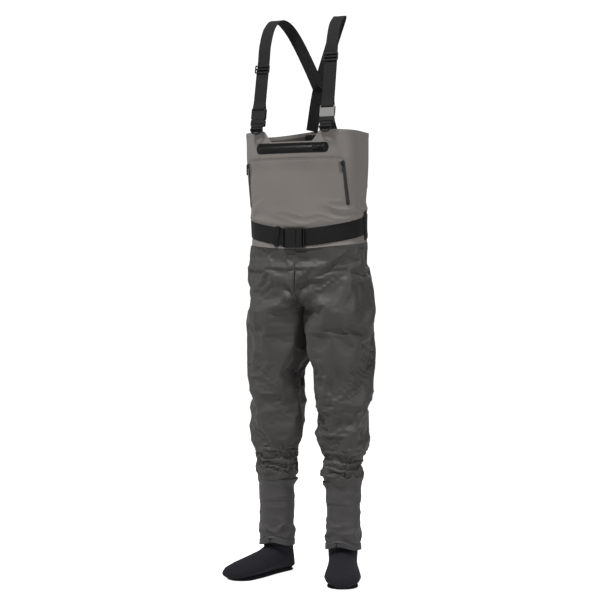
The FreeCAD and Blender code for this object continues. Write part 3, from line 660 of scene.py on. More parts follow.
def bib_sheet():
    """The bib: one closed sheet from the waist seam to the turned hem."""
    columns = 288
    rows = 150
    angle = np.linspace(-180.0, 180.0, columns, endpoint=False)
    share = np.linspace(0.0, 1.0, rows)
    low = waist_seam(angle) - 0.004
    high = bib_edge(angle)
    height = low[None, :] + (high - low)[None, :] * share[:, None]
    angles = np.broadcast_to(angle, height.shape)
    grid = bib_points(angles, height)
    normals = grid_normals(grid, True)
    # the hem is a second turn of cloth: a small step 12 mm under the edge
    from_edge = (high[None, :] - height)
    step = 0.0007 * smooth(HEM + 0.0015, HEM - 0.0015, from_edge)
    # the bottom edge lies over the legs' cloth
    over = 0.0012 * smooth(0.006, 0.0, height - low[None, :])
    grid = grid + normals * (step + over)[..., None]
    uv = np.zeros((rows, columns + 1, 2))
    uv[..., 0] = np.linspace(0.0, BIB_GIRTH, columns + 1)[None, :]
    uv[:, :columns, 1] = height
    uv[:, columns, 1] = height[:, 0]
    item = sheet("bib_shell", grid, (BIB, LINING), uv=uv, closed=True)
    turn_hem_in(item, rows, columns, from_edge)
    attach(item, "torso")
    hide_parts("bib_front_panel", "bib_back_panel")
    return item


def turn_hem_in(item, rows, columns, from_edge):
    """Gives the inside of the top hem the shell's own cloth."""
    slots = np.zeros(len(item.data.polygons), int)
    item.data.polygons.foreach_get("material_index", slots)
    for i in range(rows - 1):
        for j in range(columns):
            if from_edge[i, j] < INNER_HEM:
                slots[(i * columns + j) * 2 + 1] = 0
    item.data.polygons.foreach_set("material_index", slots)


INNER_HEM = 0.011


def pocket_panel():
    """The front panel that carries the hand-warmer zips, lapped over the bib."""
    columns = 150
    rows = 110
    share = np.linspace(0.0, 1.0, rows)
    grid = np.zeros((rows, columns, 3))
    probe = np.linspace(-179.0, -1.0, 720)
    for i, t in enumerate(share):
        z = BELT_TOP + (YOKE - BELT_TOP) * t
        half = float(zip_line_x(z))
        surface = torso_surface(probe, z)
        x = surface[:, 0]
        left = np.interp(half, x, probe)
        right = np.interp(-half, x, probe)
        angles = np.linspace(right, left, columns)
        lap = 0.0006 * math.exp(-((YOKE - z) / 0.0016) ** 2)
        stitch = -0.0007 * math.exp(-((YOKE - z - 0.0062) / 0.0011) ** 2)
        edge = np.minimum(np.arange(columns), np.arange(columns)[::-1]) / (columns - 1) * 2 * half
        side_stitch = -0.0006 * np.exp(-((edge - 0.0105) / 0.0016) ** 2)
        grid[i] = bib_points(angles, np.full(columns, z), offset=0.0015 + lap + stitch + side_stitch)
    uv = np.zeros((rows, columns, 2))
    uv[..., 0] = np.linspace(-0.19, 0.19, columns)[None, :]
    uv[..., 1] = (BELT_TOP + (YOKE - BELT_TOP) * share)[:, None]
    item = sheet("hand_warmer_panel", grid, (BIB, BIB), uv=uv, closed=False, thick=0.0018)
    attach(item, "torso")
    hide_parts("handwarmer_pocket_panel")
    return item


BELT_TOP = middle_of("belt_webbing").z - 0.030


# ------------------------------------------------------------------- zips

def zip_profile(across, half):
    """Height of a closed coil zip over its film: a low ridge down the middle."""
    ridge = 0.0011 * np.exp(-(across / 0.0011) ** 2)
    edge = smooth(half, half - 0.0012, np.abs(across))
    return ridge + 0.0008 * edge


def chest_patch():
    """The welded film oblong on the chest with its water-resistant zip."""
    half_x, half_z = PATCH_HALF
    columns = 240
    rows = 40
    across = np.linspace(-1.0, 1.0, columns)
    grid = np.zeros((rows, columns, 3))
    for i, t in enumerate(np.linspace(-1.0, 1.0, rows)):
        z = t * half_z
        inset = half_z - math.sqrt(max(half_z ** 2 - z ** 2, 0.0))
        x = across * (half_x - inset)
        grid[i, :, 0] = x
        grid[i, :, 2] = PATCH_Z + z
        rim = np.minimum(half_z - math.sqrt(z ** 2) , half_x - inset - np.abs(x) + inset * 0.4)
        dome = smooth(0.0, 0.0022, rim)
        slot_end = np.maximum(np.abs(x) - (half_x - half_z), 0.0)
        from_middle = np.sqrt(z ** 2 + slot_end ** 2)
        slot = zip_profile(from_middle, 0.0045) * smooth(0.0, 0.001, 0.0046 - from_middle)
        weld = 0.0005 * np.exp(-((from_middle - 0.0062) / 0.0007) ** 2)
        weld += 0.0004 * np.exp(-((rim - 0.0032) / 0.0006) ** 2)
        grid[i, :, 1] = patch_plane(x) + 0.0012 - dome * 0.0014 - slot + weld
    uv = grid[..., [0, 2]].copy()
    item = sheet("chest_patch", grid, (WELD_SATIN, WELD), uv=uv, closed=False, thick=0.0015)
    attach(item, "torso")
    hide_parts("chest_zip_garage")
    return item


def chest_coil():
    """The dark strip and the closed coil seen in the chest slot."""
    half_x = high_of("chest_zip_tape").x
    count = 260
    x = np.linspace(-half_x, half_x, count)
    rows = np.linspace(-0.0042, 0.0042, 15)
    grid = np.zeros((len(rows), count, 3))
    for i, z in enumerate(rows):
        end = np.maximum(np.abs(x) - (half_x - 0.0042), 0.0)
        squeeze = np.sqrt(np.clip(1.0 - (end / 0.0042) ** 2, 0.0, 1.0))
        teeth = 0.00025 * np.sin(2 * math.pi * x / 0.0022) * math.exp(-(z / 0.0012) ** 2)
        grid[i, :, 0] = x
        grid[i, :, 2] = PATCH_Z + z * squeeze
        grid[i, :, 1] = patch_plane(x) - 0.00045 - 0.0011 * math.exp(-(z / 0.0013) ** 2) - teeth
    item = sheet("chest_coil", grid, (ZIP_TAPE, ZIP_TAPE), uv=grid[..., [0, 2]].copy(), closed=False,
                 thick=0.0006)
    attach(item, "torso")
    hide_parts("chest_zip_tape")
    return item


def side_zip(side):
    """A hand-warmer zip: a dark welded slit with rounded ends and a coil."""
    sign = SIDES[side]
    low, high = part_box(side + "_pocket_zip_tape")
    half = 0.0042
    count = 130
    heights = np.linspace(low.z - 0.001, high.z + 0.001, count)
    probe = np.linspace(-179.0, -1.0, 720)
    across = np.linspace(-half, half, 13)
    if sign < 0:
        across = across[::-1]
    grid = np.zeros((count, len(across), 3))
    middle = zip_line_x(heights)
    for i, z in enumerate(heights):
        end = max(0.0, half - min(z - heights[0], heights[-1] - z))
        squeeze = math.sqrt(max(1.0 - (end / half) ** 2, 0.0))
        x = np.sort(middle[i] + across * squeeze * 0.93)
        surface = torso_surface(probe, z)[:, 0]
        angles = np.interp(x, surface, probe)
        offsets = []
        for a in np.linspace(-half, half, 13):
            teeth = 0.0002 * math.sin(2 * math.pi * z / 0.0022) * math.exp(-(a / 0.0012) ** 2)
            offsets.append(0.0019 + 0.0011 * math.exp(-(a / 0.0013) ** 2) + teeth)
        grid[i] = bib_points(angles, np.full(len(x), z), offset=np.array(offsets))
    if sign < 0:
        grid = grid[:, ::-1] * np.array([-1.0, 1.0, 1.0])
    item = sheet(side + "_hand_warmer_zip", grid, (ZIP_TAPE, ZIP_TAPE), closed=False, thick=0.0012)
    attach(item, "torso")
    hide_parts(side + "_pocket_zip_tape")
    return item


def inner_pocket():
    """The mesh bag behind the chest zip, hung inside the bib."""
    low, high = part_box("chest_pocket_bag")
    columns, rows = 40, 24
    x = np.linspace(low.x, high.x, columns)
    z = np.linspace(low.z, high.z, rows)
    grid = np.zeros((rows, columns, 3))
    for i in range(rows):
        sag = 0.003 * math.sin(math.pi * i / (rows - 1))
        grid[i, :, 0] = x
        grid[i, :, 2] = z[i] - 0.004 * np.cos(math.pi * x / (high.x - low.x)) * (i == 0)
        bow = (x / high.x) ** 2 * (high.y - low.y) * 0.8
        grid[i, :, 1] = low.y + 0.008 + bow + sag * np.cos(math.pi * x / (high.x - low.x) / 1.0)
    item = sheet("chest_pocket_mesh", grid, (LINING, LINING), closed=False, thick=0.004)
    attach(item, "torso")
    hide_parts("chest_pocket_bag")
    return item


# ------------------------------------------------------------------- legs

CUT = 0.550                     # height of the seam under the thigh piece
TUCK = [(-0.0045, -0.0165), (-0.0090, -0.0150), (-0.0115, -0.0105),
        (-0.0105, -0.0055), (-0.0065, -0.0022), (0.0010, -0.0004)]
CALF_END = 0.330                # below this the cloth hangs straight to the guard


def leg_surface(turn, height):
    """The smooth left leg: a tube that opens above the crotch into half the hips."""
    turn = np.asarray(turn, float) + 0.0 * np.asarray(height, float)
    height = np.asarray(height, float) + 0.0 * turn
    fit = np.clip(height, CALF_END, CROTCH - 0.006)
    centre_x, centre_y, wide, deep = leg.at(fit)
    angle = np.radians(180.0 + 360.0 * turn)
    meet = smooth(0.600, 0.680, height) * (centre_x - wide - 0.0012)
    inner = np.clip(-np.cos(angle), 0.0, 1.0)
    tube_x = centre_x + wide * np.cos(angle) - meet * inner
    tube = np.stack([tube_x, centre_y + deep * np.sin(angle), height], -1)
    share = np.clip((HIP_LINE - height) / (HIP_LINE - CROTCH), 0.0, 1.0) ** 3.4
    torso_half = torso_surface(180.0 * turn - 90.0, height)
    return torso_half + (tube - torso_half) * share[..., None]


def whiskers(points, y_side):
    """Folds that fan up and out from the crotch."""
    x, z = np.abs(points[..., 0]), points[..., 2]
    rise = z - (CROTCH + 0.012)
    distance = np.sqrt(x ** 2 + rise ** 2)
    fan = np.arctan2(rise, x + 0.004)
    wobble = 0.35 * noise_field(points, (12.0, 12.0, 12.0), 21)
    wave = np.cos(fan * 9.0 + wobble * 2.0)
    reach_out = smooth(0.012, 0.045, distance) * smooth(0.165, 0.06, distance)
    return wave * reach_out * smooth(-0.35, 0.1, fan) * y_side


def leg_folds(points):
    """The fine creases of the legs' cloth, out from its draped shape."""
    x, y, z = points[..., 0], points[..., 1], points[..., 2]
    front = smooth(0.05, 0.0, y)
    out = 0.0042 * whiskers(points, front)
    warp = 0.05 * noise_field(points, (5.0, 5.0, 4.0), 31)
    moved = points + np.stack([warp, 0 * warp, 1.4 * warp], -1)
    slanted = moved + np.stack([0.35 * z * np.sign(x), 0 * x, 0 * x], -1)
    thigh = smooth(0.93, 0.86, z) * smooth(0.48, 0.60, z)
    out += thigh * 0.0060 * (creases(slanted, (6.5, 6.5, 2.6), 5, 1.2) - 0.45)
    out += thigh * 0.0022 * noise_field(moved, (15.0, 15.0, 8.0), 12)
    low = smooth(0.63, 0.50, z)
    slope = np.abs(((z * 9.0 + 0.6 * noise_field(points, (4.0, 4.0, 6.0), 15)) % 1.0) - 0.5) * 2.0
    zig = points + np.stack([0 * x, 0 * x, (slope - 0.5) * 0.030 * np.sin(x * 38.0 + y * 21.0)], -1)
    out += low * 0.0075 * (creases(zig, (5.0, 5.0, 15.0), 41, 1.15) - 0.42)
    out += low * 0.0025 * noise_field(zig, (12.0, 12.0, 30.0), 44)
    out += 0.0010 * noise_field(points, (40.0, 40.0, 30.0), 47)
    out *= smooth(WAIST_FRONT + 0.004, WAIST_FRONT - 0.03, z) * 0.85 + 0.15
    return out * smooth(0.272, 0.300, z)


CLOTH_ROWS = 4            # rows of the leg's mesh to one row of the falling cloth
CLOTH_COLUMNS = 4
CLOTH_FRAMES = 40
CLOTH_RISE = 24           # frames in which the lower end is pushed up to its place
CLOTH_EXTRA = (0.085, 0.060)   # extra length of the whole leg and of its lower half
CLOTH_TWIST = 0.30             # turn of the lower end before it is pushed up
CLOTH_CAP = 0.022         # furthest a point may fall
BODY_GAP = 0.019          # from the cloth to the body inside it
TUCK_IN = 0.007           # how far the guard gathers the lower end in


def spread(values, places):
    """A smooth curve through rows of values, read at fractional places."""
    last = len(values) - 1
    low = np.clip(np.floor(places).astype(int), 0, last - 1)
    t = (places - low).reshape((-1,) + (1,) * (values.ndim - 1))
    before, start = values[np.maximum(low - 1, 0)], values[low]
    end, after = values[low + 1], values[np.minimum(low + 2, last)]
    bend = 2 * before - 5 * start + 4 * end - after
    twist = 3 * (start - end) + after - before
    return start + 0.5 * t * ((end - before) + t * (bend + t * twist))


def tube_mesh(name, grid, closed, flip):
    """A plain mesh over a grid whose closed rows join end to end, facing out."""
    rows, columns = grid.shape[:2]
    index = np.full((rows, columns), -1)
    points = []
    for i in range(rows):
        for j in range(columns):
            if closed[i] and j == columns - 1:
                index[i, j] = index[i, 0]
                continue
            index[i, j] = len(points)
            points.append(tuple(grid[i, j]))
    faces = []
    for i in range(rows - 1):
        for j in range(columns - 1):
            corners = (index[i, j], index[i, j + 1], index[i + 1, j + 1], index[i + 1, j])
            faces.append(tuple(int(k) for k in (corners[::-1] if flip else corners)))
    mesh = bpy.data.meshes.new(name)
    mesh.from_pydata(points, [], faces)
    item = bpy.data.objects.new(name, mesh)
    bpy.context.collection.objects.link(item)
    return item, index


def cut_longer(side, grid):
    """The cloth as it was cut: longer than its place, and a little twisted."""
    z = grid[..., 2]
    slack = CLOTH_EXTRA[0] * np.maximum(WAIST_FRONT - 0.02 - z, 0.0)
    slack += CLOTH_EXTRA[1] * np.maximum(KNEE.z + 0.12 - z, 0.0)
    turn = CLOTH_TWIST * SIDES[side] * smooth(CROTCH, CALF_END, z)
    x = grid[..., 0] - HIP.x * SIDES[side]
    y = grid[..., 1] - KNEE.y
    turned = np.stack([x * np.cos(turn) - y * np.sin(turn), x * np.sin(turn) + y * np.cos(turn)], -1)
    middle = np.array([HIP.x * SIDES[side], KNEE.y])
    return np.concatenate([turned + middle, (z - slack)[..., None]], -1)


def push_up(item, index, grid):
    """Moves the cloth's held end up to its place over the first frames."""
    item.shape_key_add(name="cut")
    key = item.shape_key_add(name="place")
    for i in range(grid.shape[0]):
        for j in range(grid.shape[1]):
            key.data[int(index[i, j])].co = tuple(grid[i, j])
    for number, value in ((1, 0.0), (CLOTH_RISE, 1.0)):
        key.value = value
        key.keyframe_insert("value", frame=number)


def hang(item, index, closed, inside):
    """Gives a mesh the Cloth modifier, held at the waist, the guard and the middle.

    inside is the collection of what the cloth may touch: its own leg's body only.
    """
    held = {int(k) for k in index[-1]} | {int(k) for k in index[0]}
    for i in np.flatnonzero(~closed):
        held |= {int(index[i, 0]), int(index[i, -1])}
    group = item.vertex_groups.new(name="held")
    group.add(sorted(held), 1.0, "REPLACE")
    cloth = item.modifiers.new("Cloth", "CLOTH")
    cloth.point_cache.frame_end = CLOTH_FRAMES
    how = cloth.settings
    how.quality = 6
    how.mass = 0.06
    how.tension_stiffness = 25.0
    how.compression_stiffness = 25.0
    how.shear_stiffness = 8.0
    how.bending_stiffness = 0.25
    how.air_damping = 2.0
    how.effector_weights.gravity = 0.12
    how.vertex_group_mass = "held"
    cloth.collision_settings.distance_min = 0.003
    cloth.collision_settings.use_self_collision = False
    cloth.collision_settings.collection = inside


def drape(grids, closed):
    """How far each leg's cloth moves when it falls over a body, cut a little long."""
    cloths = {}
    spare = []
    for side, grid in grids.items():
        coarse = grid[::CLOTH_ROWS, ::CLOTH_COLUMNS]
        ends = closed[::CLOTH_ROWS]
        way = grid_normals(coarse, False) * SIDES[side]
        flip = SIDES[side] < 0
        body, _ = tube_mesh(side + "_body", coarse - way * BODY_GAP, ends, flip)
        body.modifiers.new("Collision", "COLLISION")
        body.collision.thickness_outer = 0.003
        place = coarse.copy()
        place[0] -= way[0] * TUCK_IN
        place[1] -= way[1] * TUCK_IN / 2
        crooked = 0.007 * noise_field(coarse, (14.0, 14.0, 9.0), 61 if SIDES[side] > 0 else 62)
        crooked[0], crooked[-1] = 0.0, 0.0
        cut = cut_longer(side, coarse + way * crooked[..., None])
        item, index = tube_mesh(side + "_falling_cloth", cut, ends, flip)
        push_up(item, index, place)
        inside = bpy.data.collections.new(side + "_inside")
        inside.objects.link(body)
        hang(item, index, ends, inside)
        cloths[side] = (item, index, coarse)
        spare += [body, item]
    for number in range(1, CLOTH_FRAMES + 1):
        bpy.context.scene.frame_set(number)
    graph = bpy.context.evaluated_depsgraph_get()
    moves = {}
    for side, (item, index, coarse) in cloths.items():
        shape = item.evaluated_get(graph)
        places = np.array([tuple(v.co) for v in shape.data.vertices])
        move = places[index] - coarse
        size = np.linalg.norm(move, axis=-1, keepdims=True) + 1e-9
        move *= CLOTH_CAP * np.tanh(size / CLOTH_CAP) / size
        rows, columns = grids[side].shape[:2]
        move = spread(move, np.arange(rows) / CLOTH_ROWS)
        move = spread(np.swapaxes(move, 0, 1), np.arange(columns) / CLOTH_COLUMNS)
        moves[side] = np.swapaxes(move, 0, 1)
    for side in grids:
        bpy.data.collections.remove(bpy.data.collections[side + "_inside"])
    for item in spare:
        mesh = item.data
        bpy.data.objects.remove(item)
        bpy.data.meshes.remove(mesh)
    bpy.context.scene.frame_set(1)
    return moves


def leg_start(side):
    """The smooth leg: its points, outward directions, heights and tuck, by rows."""
    sign = SIDES[side]
    columns = 177
    turn = np.linspace(0.0, 1.0, columns)
    turn_angle = 2 * math.pi * turn
    droop = 0.0045 * np.sin(turn_angle * 2 + sign) + 0.0030 * np.sin(turn_angle * 5 + 2 * sign)
    heights = [GUARD_TOP + lift + droop for lift, _ in TUCK]
    shifts = [inward for _, inward in TUCK]
    for z in np.linspace(CALF_END - 0.036, CROTCH, 252):
        heights.append(z + droop * float(smooth(0.360, 0.292, z)))
    seam = waist_seam(180.0 * turn - 90.0)
    for t in np.linspace(0.0, 1.0, 90)[1:]:
        heights.append(CROTCH + (seam - CROTCH) * t)
    height = np.array(heights)
    shift = np.zeros((len(height), 1))
    shift[:len(TUCK), 0] = shifts
    grid = leg_surface(np.broadcast_to(turn, height.shape), height)
    normals = grid_normals(grid, False)
    if sign < 0:
        grid = grid * np.array([-1.0, 1.0, 1.0])
        normals = normals * np.array([-1.0, 1.0, 1.0])
    return grid, normals, height, shift


def leg_grid(side, start, fallen):
    """Draped and creased grid of one leg, rows from the guard up to the waist seam."""
    sign = SIDES[side]
    grid, normals, height, shift = start
    level = height.mean(axis=1)
    below = level < CROTCH + 0.001
    joined = (normals[:, 0] + normals[:, -1]) / 2
    normals[below, 0] = joined[below]
    normals[below, -1] = joined[below]
    tucked = len(TUCK)
    normals[:tucked] = normals[tucked + 1]
    normals[:tucked, :, 2] = 0.0
    for end in (0, -1):
        normals[~below, end, 0] = 0.0
    grid = grid + normals * (leg_folds(grid) + shift)[..., None]
    grid[tucked:] += fallen
    grid[:tucked] += fallen[0]
    x = grid[..., 0] * sign
    least = 0.0012 * smooth(CROTCH + 0.03, CROTCH, level)
    grid[..., 0] = np.maximum(x, least[:, None]) * sign
    for end in (0, -1):
        grid[:, end, 0] = np.where(level > CROTCH, least * sign, grid[:, end, 0])
    return grid


def finish_leg(side, grid, height):
    """Splits the leg at the thigh seam into an upper and a lower sheet."""
    sign = SIDES[side]
    normals = grid_normals(grid, False)
    if sign < 0:
        normals = -normals
    level = height.mean(axis=1)
    below = level < CROTCH + 0.001
    joined = normals[:, 0] + normals[:, -1]
    joined /= np.linalg.norm(joined, axis=1, keepdims=True)
    for end in (0, -1):
        normals[below, end] = joined[below]
        flat = normals[~below, end]
        flat[:, 0] = 0.0
        flat[:, 2] -= 1e-4
        flat /= np.linalg.norm(flat, axis=1, keepdims=True)
        normals[~below, end] = flat
    around = np.concatenate([[0.0], np.cumsum(np.linalg.norm(np.diff(grid, axis=1), axis=2).mean(axis=0))])
    uv = np.stack(np.broadcast_arrays(around[None, :], height), axis=2)
    if sign < 0:
        grid, normals, uv = grid[:, ::-1], normals[:, ::-1], uv[:, ::-1]
    cut = int(np.searchsorted(level, CUT))
    thigh = sheet(side + "_leg_upper", grid[cut:], (LEG, LINING), uv=uv[cut:], closed=False,
                  normals=normals[cut:])
    shin = sheet(side + "_leg_lower", grid[:cut + 1], (LEG, LINING), uv=uv[:cut + 1], closed=False,
                 normals=normals[:cut + 1])
    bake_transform(thigh)
    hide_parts(side + "_hip_panel", side + "_thigh_panel", *(["waist_panel"] if sign > 0 else []))
    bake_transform(shin)
    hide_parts(side + "_knee_panel", side + "_calf_panel")
    return thigh, shin


def guard_sheet(side):
    """The gravel guard: a short stretch sleeve with a doubled hem."""
    sign = SIDES[side]
    columns, rows = 144, 90
    turn = np.linspace(0.0, 1.0, columns, endpoint=False)
    angle = np.radians(180.0 + 360.0 * turn)
    ahead = (np.degrees(angle) - 270.0 - sign * 8.0) / 38.0
    low = GUARD_LOW - 0.011 + 0.013 * np.exp(-ahead ** 2)
    share = np.linspace(0.0, 1.0, rows)
    height = low[None, :] + (GUARD_TOP - 0.002 - low)[None, :] * share[:, None]
    centre_x, centre_y, wide, deep = guard.at(height)
    flare = 0.0012 * smooth(GUARD_LOW + 0.015, GUARD_LOW - 0.02, height)
    wide, deep = wide + flare, deep + flare
    grid = np.stack([centre_x + wide * np.cos(angle), centre_y + deep * np.sin(angle), height], -1)
    if sign < 0:
        grid = (grid * np.array([-1.0, 1.0, 1.0]))[:, ::-1]
        height = height[:, ::-1]
        low = low[::-1]
    normals = grid_normals(grid, True)
    from_low = height - low[None, :]
    out = 0.0022 * noise_field(grid, (13.0, 13.0, 10.0), 51)
    shear = grid + np.stack([grid[..., 2] * 0.5, 0 * height, 0 * height], -1)
    wrinkle = creases(shear, (20.0, 20.0, 34.0), 53, 1.2) * bump(from_low, 0.045, 0.024)
    out += 0.0062 * wrinkle
    slack = creases(shear + 0.01 * noise_field(grid, (9, 9, 9), 58)[..., None], (9.0, 9.0, 24.0), 57, 1.2)
    out += 0.0034 * slack * smooth(0.05, 0.10, from_low)
    out *= smooth(0.0, 0.018, from_low)
    band = smooth(0.0175, 0.0155, from_low)
    out += 0.0022 * band - 0.0014 * bump(from_low, 0.0180, 0.0014)
    seam = np.abs(height - (GUARD_LOW + 0.123))
    out += 0.0006 * smooth(0.0, 0.001, height - (GUARD_LOW + 0.123)) - 0.0012 * np.exp(-(seam / 0.0014) ** 2)
    flap = np.exp(-((np.cos(angle) + 0.85) / 0.35) ** 2) * smooth(GUARD_TOP - 0.03, GUARD_TOP, height)
    if sign < 0:
        flap = flap[:, ::-1]
    out += 0.008 * flap
    grid = grid + normals * out[..., None]
    item = sheet(side + "_guard_sleeve", grid, (GUARD, LINING), closed=True)
    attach(item, side + "_shin")
    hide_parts(side + "_gravel_guard")
    return item


# ------------------------------------------------------------------ socks

def soft_copy(name, nodes, voxel, rounds):
    """One smooth closed skin around several CAD nodes."""
    vertices = []
    faces = []
    for node in nodes:
        mesh = frame["nodes"][node].data
        start = len(vertices)
        vertices += [tuple(vertex.co) for vertex in mesh.vertices]
        faces += [[start + i for i in face.vertices] for face in mesh.polygons]
    item = new_object(name, vertices, faces)
    remesh = item.modifiers.new("skin", "REMESH")
    remesh.mode = "VOXEL"
    remesh.voxel_size = voxel
    smoothing = item.modifiers.new("ease", "SMOOTH")
    smoothing.factor = 0.5
    smoothing.iterations = rounds
    bake_modifiers(item)
    item.data.polygons.foreach_set("use_smooth", [True] * len(item.data.polygons))
    return item


def bake_modifiers(item):
    """Applies every modifier of an object to its mesh."""
    graph = bpy.context.evaluated_depsgraph_get()
    mesh = bpy.data.meshes.new_from_object(item.evaluated_get(graph))
    old = item.data
    item.modifiers.clear()
    item.data = mesh
    bpy.data.meshes.remove(old)


SOLE_EDGE = 0.0050        # the sole reaches this far up the sock
SOLE_SKIN = 0.0012
SOCK_SWELL = 0.0055       # the neoprene stands out this far round the foot


def swell_out(skin):
    """Stands the neoprene out round the foot, but not at the ground or in the guard."""
    mesh = skin.data
    places = np.empty(3 * len(mesh.vertices))
    ways = np.empty(3 * len(mesh.vertices))
    mesh.vertices.foreach_get("co", places)
    mesh.vertex_normals.foreach_get("vector", ways)
    places = places.reshape(-1, 3)
    ways = ways.reshape(-1, 3)
    ways[:, 2] = np.maximum(ways[:, 2], 0.0)
    z = places[:, 2]
    swell = SOCK_SWELL * smooth(0.0015, 0.016, z) * smooth(0.108, 0.088, z)
    mesh.vertices.foreach_set("co", (places + ways * swell[:, None]).ravel())
    mesh.update()
    smoothing = skin.modifiers.new("settle", "SMOOTH")
    smoothing.factor = 0.5
    smoothing.iterations = 8
    bake_modifiers(skin)


def sock(side):
    """The neoprene sock, one skin from the leg to the toe, and the sole under it."""
    skin = soft_copy(side + "_sock", [side + "_ankle", side + "_sock_foot", side + "_sock_sole"], 0.0016, 22)
    skin.data.materials.clear()
    skin.data.materials.append(NEOPRENE)
    swell_out(skin)
    vertices = []
    faces = []
    index = {}
    for face in skin.data.polygons:
        if face.center.z > SOLE_EDGE or face.normal.z > -0.35:
            continue
        for k in face.vertices:
            if k not in index:
                index[k] = len(vertices)
                corner = skin.data.vertices[k]
                vertices.append(tuple(corner.co + corner.normal * 0.0002))
        faces.append([index[k] for k in face.vertices])
    sole = new_object(side + "_sole", vertices, faces)
    body = sole.modifiers.new("body", "SOLIDIFY")
    body.thickness = SOLE_SKIN
    body.offset = 0.0
    bake_modifiers(sole)
    sole.data.materials.clear()
    sole.data.materials.append(SOLE)
    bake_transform(skin)
    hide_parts(side + "_ankle", side + "_sock_foot")
    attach(sole, side + "_foot")
    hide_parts(side + "_sock_sole")


# ----------------------------------------------------------------- straps

def run_of(side):
    """Direction of the straight front run of one shoulder strap."""
    return np.array(JOINTS[side + "_buckle_release"]["axis"])


def mouth_of(side):
    """Middle of the mouth of one strap buckle's socket."""
    outer = np.array(JOINTS[side + "_buckle_squeeze_outer"]["pos_m"])
    inner = np.array(JOINTS[side + "_buckle_squeeze_inner"]["pos_m"])
    return (outer + inner) / 2


def run_face(side):
    """Direction out of the front face of the strap, square to its run."""
    run = run_of(side)
    across = np.array([1.0, 0.0, 0.0]) - run * run[0]
    across /= np.linalg.norm(across)
    return np.cross(across, run) * 1.0


STRAP_WIDTH = high_of("left_strap_front").x - low_of("left_strap_front").x - 0.001


def outward(side):
    face = run_face(side)
    return face if face[1] < 0 else -face


ARCH = [(0.1050, -0.0475, 1.5600), (0.1030, -0.0175, 1.6140), (0.0970, 0.0365, 1.6420),
        (0.0640, 0.0785, 1.5970), (0.0000, 0.1125, 1.4460), (-0.0320, 0.1375, 1.3220)]
CROSS_LIFT = 0.0017       # half the step between the two straps where they cross


def strap_back_layer(side):
    """From the socket's bar over the shoulder and down the back to its anchor."""
    sign = SIDES[side]
    mouth, run, out = mouth_of(side), run_of(side), outward(side)
    start = [mouth + run * 0.0285 - out * 0.0020,
             mouth + run * 0.0300 - out * 0.0058,
             mouth + run * 0.0345 - out * 0.0060,
             mouth + run * 0.0420 - out * 0.0028,
             mouth + run * 0.0520 - out * 0.0003]
    straight = [mouth + run * d for d in (0.075, 0.11, 0.15, 0.18)]
    arch = [np.array(p) * np.array([sign, 1.0, 1.0]) for p in ARCH]
    arch[4][1] += CROSS_LIFT * sign
    path = curve_path(start + straight + arch, 300)
    path[:, 1] += 0.0
    item = ribbon(side + "_strap_back", path, (1, 0, 0), STRAP_WIDTH, WEBBING, thick=0.0017)
    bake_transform(item)
    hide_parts(side + "_strap_rear")
    return item


def strap_returned_layer(side):
    """The free length: out through the socket, folded over its bar and up."""
    mouth, run, out = mouth_of(side), run_of(side), outward(side)
    top = high_of(side + "_strap_front").z
    reach_up = (top - mouth[2]) / run[2]
    points = [mouth + run * 0.0280 + out * 0.0008,
              mouth + run * 0.0292 + out * 0.0058,
              mouth + run * 0.0335 + out * 0.0068,
              mouth + run * 0.0400 + out * 0.0052,
              mouth + run * 0.0500 + out * 0.0031]
    points += [mouth + run * d + out * 0.0024 for d in np.linspace(0.065, reach_up, 7)]
    path = curve_path(points, 110)
    item = ribbon(side + "_strap_return", path, (1, 0, 0), STRAP_WIDTH, WEBBING, thick=0.0017)
    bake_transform(item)
    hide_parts(side + "_strap_front")
    return item


def front_tab(side):
    """The doubled webbing tab behind the bib's edge that carries the plug."""
    mouth, run, out = mouth_of(side), run_of(side), outward(side)
    reach_low = (low_of(side + "_front_tab").z - mouth[2]) / run[2]
    points = []
    for d in np.linspace(reach_low + 0.002, -0.034, 8):
        points.append(mouth + run * d + out * 0.0042)
    points += [mouth + run * -0.0270 + out * 0.0058,
               mouth + run * -0.0205 + out * 0.0068,
               mouth + run * -0.0165 + out * 0.0052,
               mouth + run * -0.0150 + out * 0.0010]
    path = curve_path(points, 90)
    item = ribbon(side + "_tab", path, (1, 0, 0), STRAP_WIDTH, WEBBING, thick=0.0026)
    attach(item, "torso")
    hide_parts(side + "_front_tab")
    return item


def cross_patch():
    """The diamond of webbing that holds the two straps where they cross."""
    low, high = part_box("strap_cross_patch")
    middle = (low + high) / 2
    tree = tree_of(["strap_cross_patch"])
    count = 40
    share = np.linspace(-1.0, 1.0, count)
    across, up = np.meshgrid(share, share)
    x = (across - up) / 2 * (high.x - low.x) / 2 * 1.02
    z = (across + up) / 2 * (high.z - low.z) / 2 * 1.02
    pieces = []
    for name, way in (("strap_cross_patch_outer", 1.0), ("strap_cross_patch_inner", -1.0)):
        grid = np.zeros((count, count, 3))
        for i in range(count):
            for j in range(count):
                start = Vector((middle.x + x[i, j] * 0.93, middle.y + way * 0.2, middle.z + z[i, j] * 0.93))
                hit = tree.ray_cast(start, Vector((0, -way, 0)))
                y = hit[0].y if hit[0] is not None else np.nan
                grid[i, j] = (start.x, y, start.z)
        y = grid[..., 1]
        known = ~np.isnan(y)
        terms = np.stack([np.ones(known.sum()), grid[..., 0][known], grid[..., 2][known]], axis=1)
        plane = np.linalg.lstsq(terms, y[known], rcond=None)[0]
        flat = plane[0] + plane[1] * grid[..., 0] + plane[2] * grid[..., 2]
        grid[..., 1] = flat + way * 0.0008 * np.cos(across * 1.5) * np.cos(up * 1.5)
        if way < 0:
            grid = grid[:, ::-1]
        item = sheet(name, grid, (WEBBING, WEBBING), uv=grid[..., [0, 2]].copy(), closed=False, thick=0.0016)
        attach(item, "torso")
        pieces.append(item)
    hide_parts("strap_cross_patch")
    return pieces


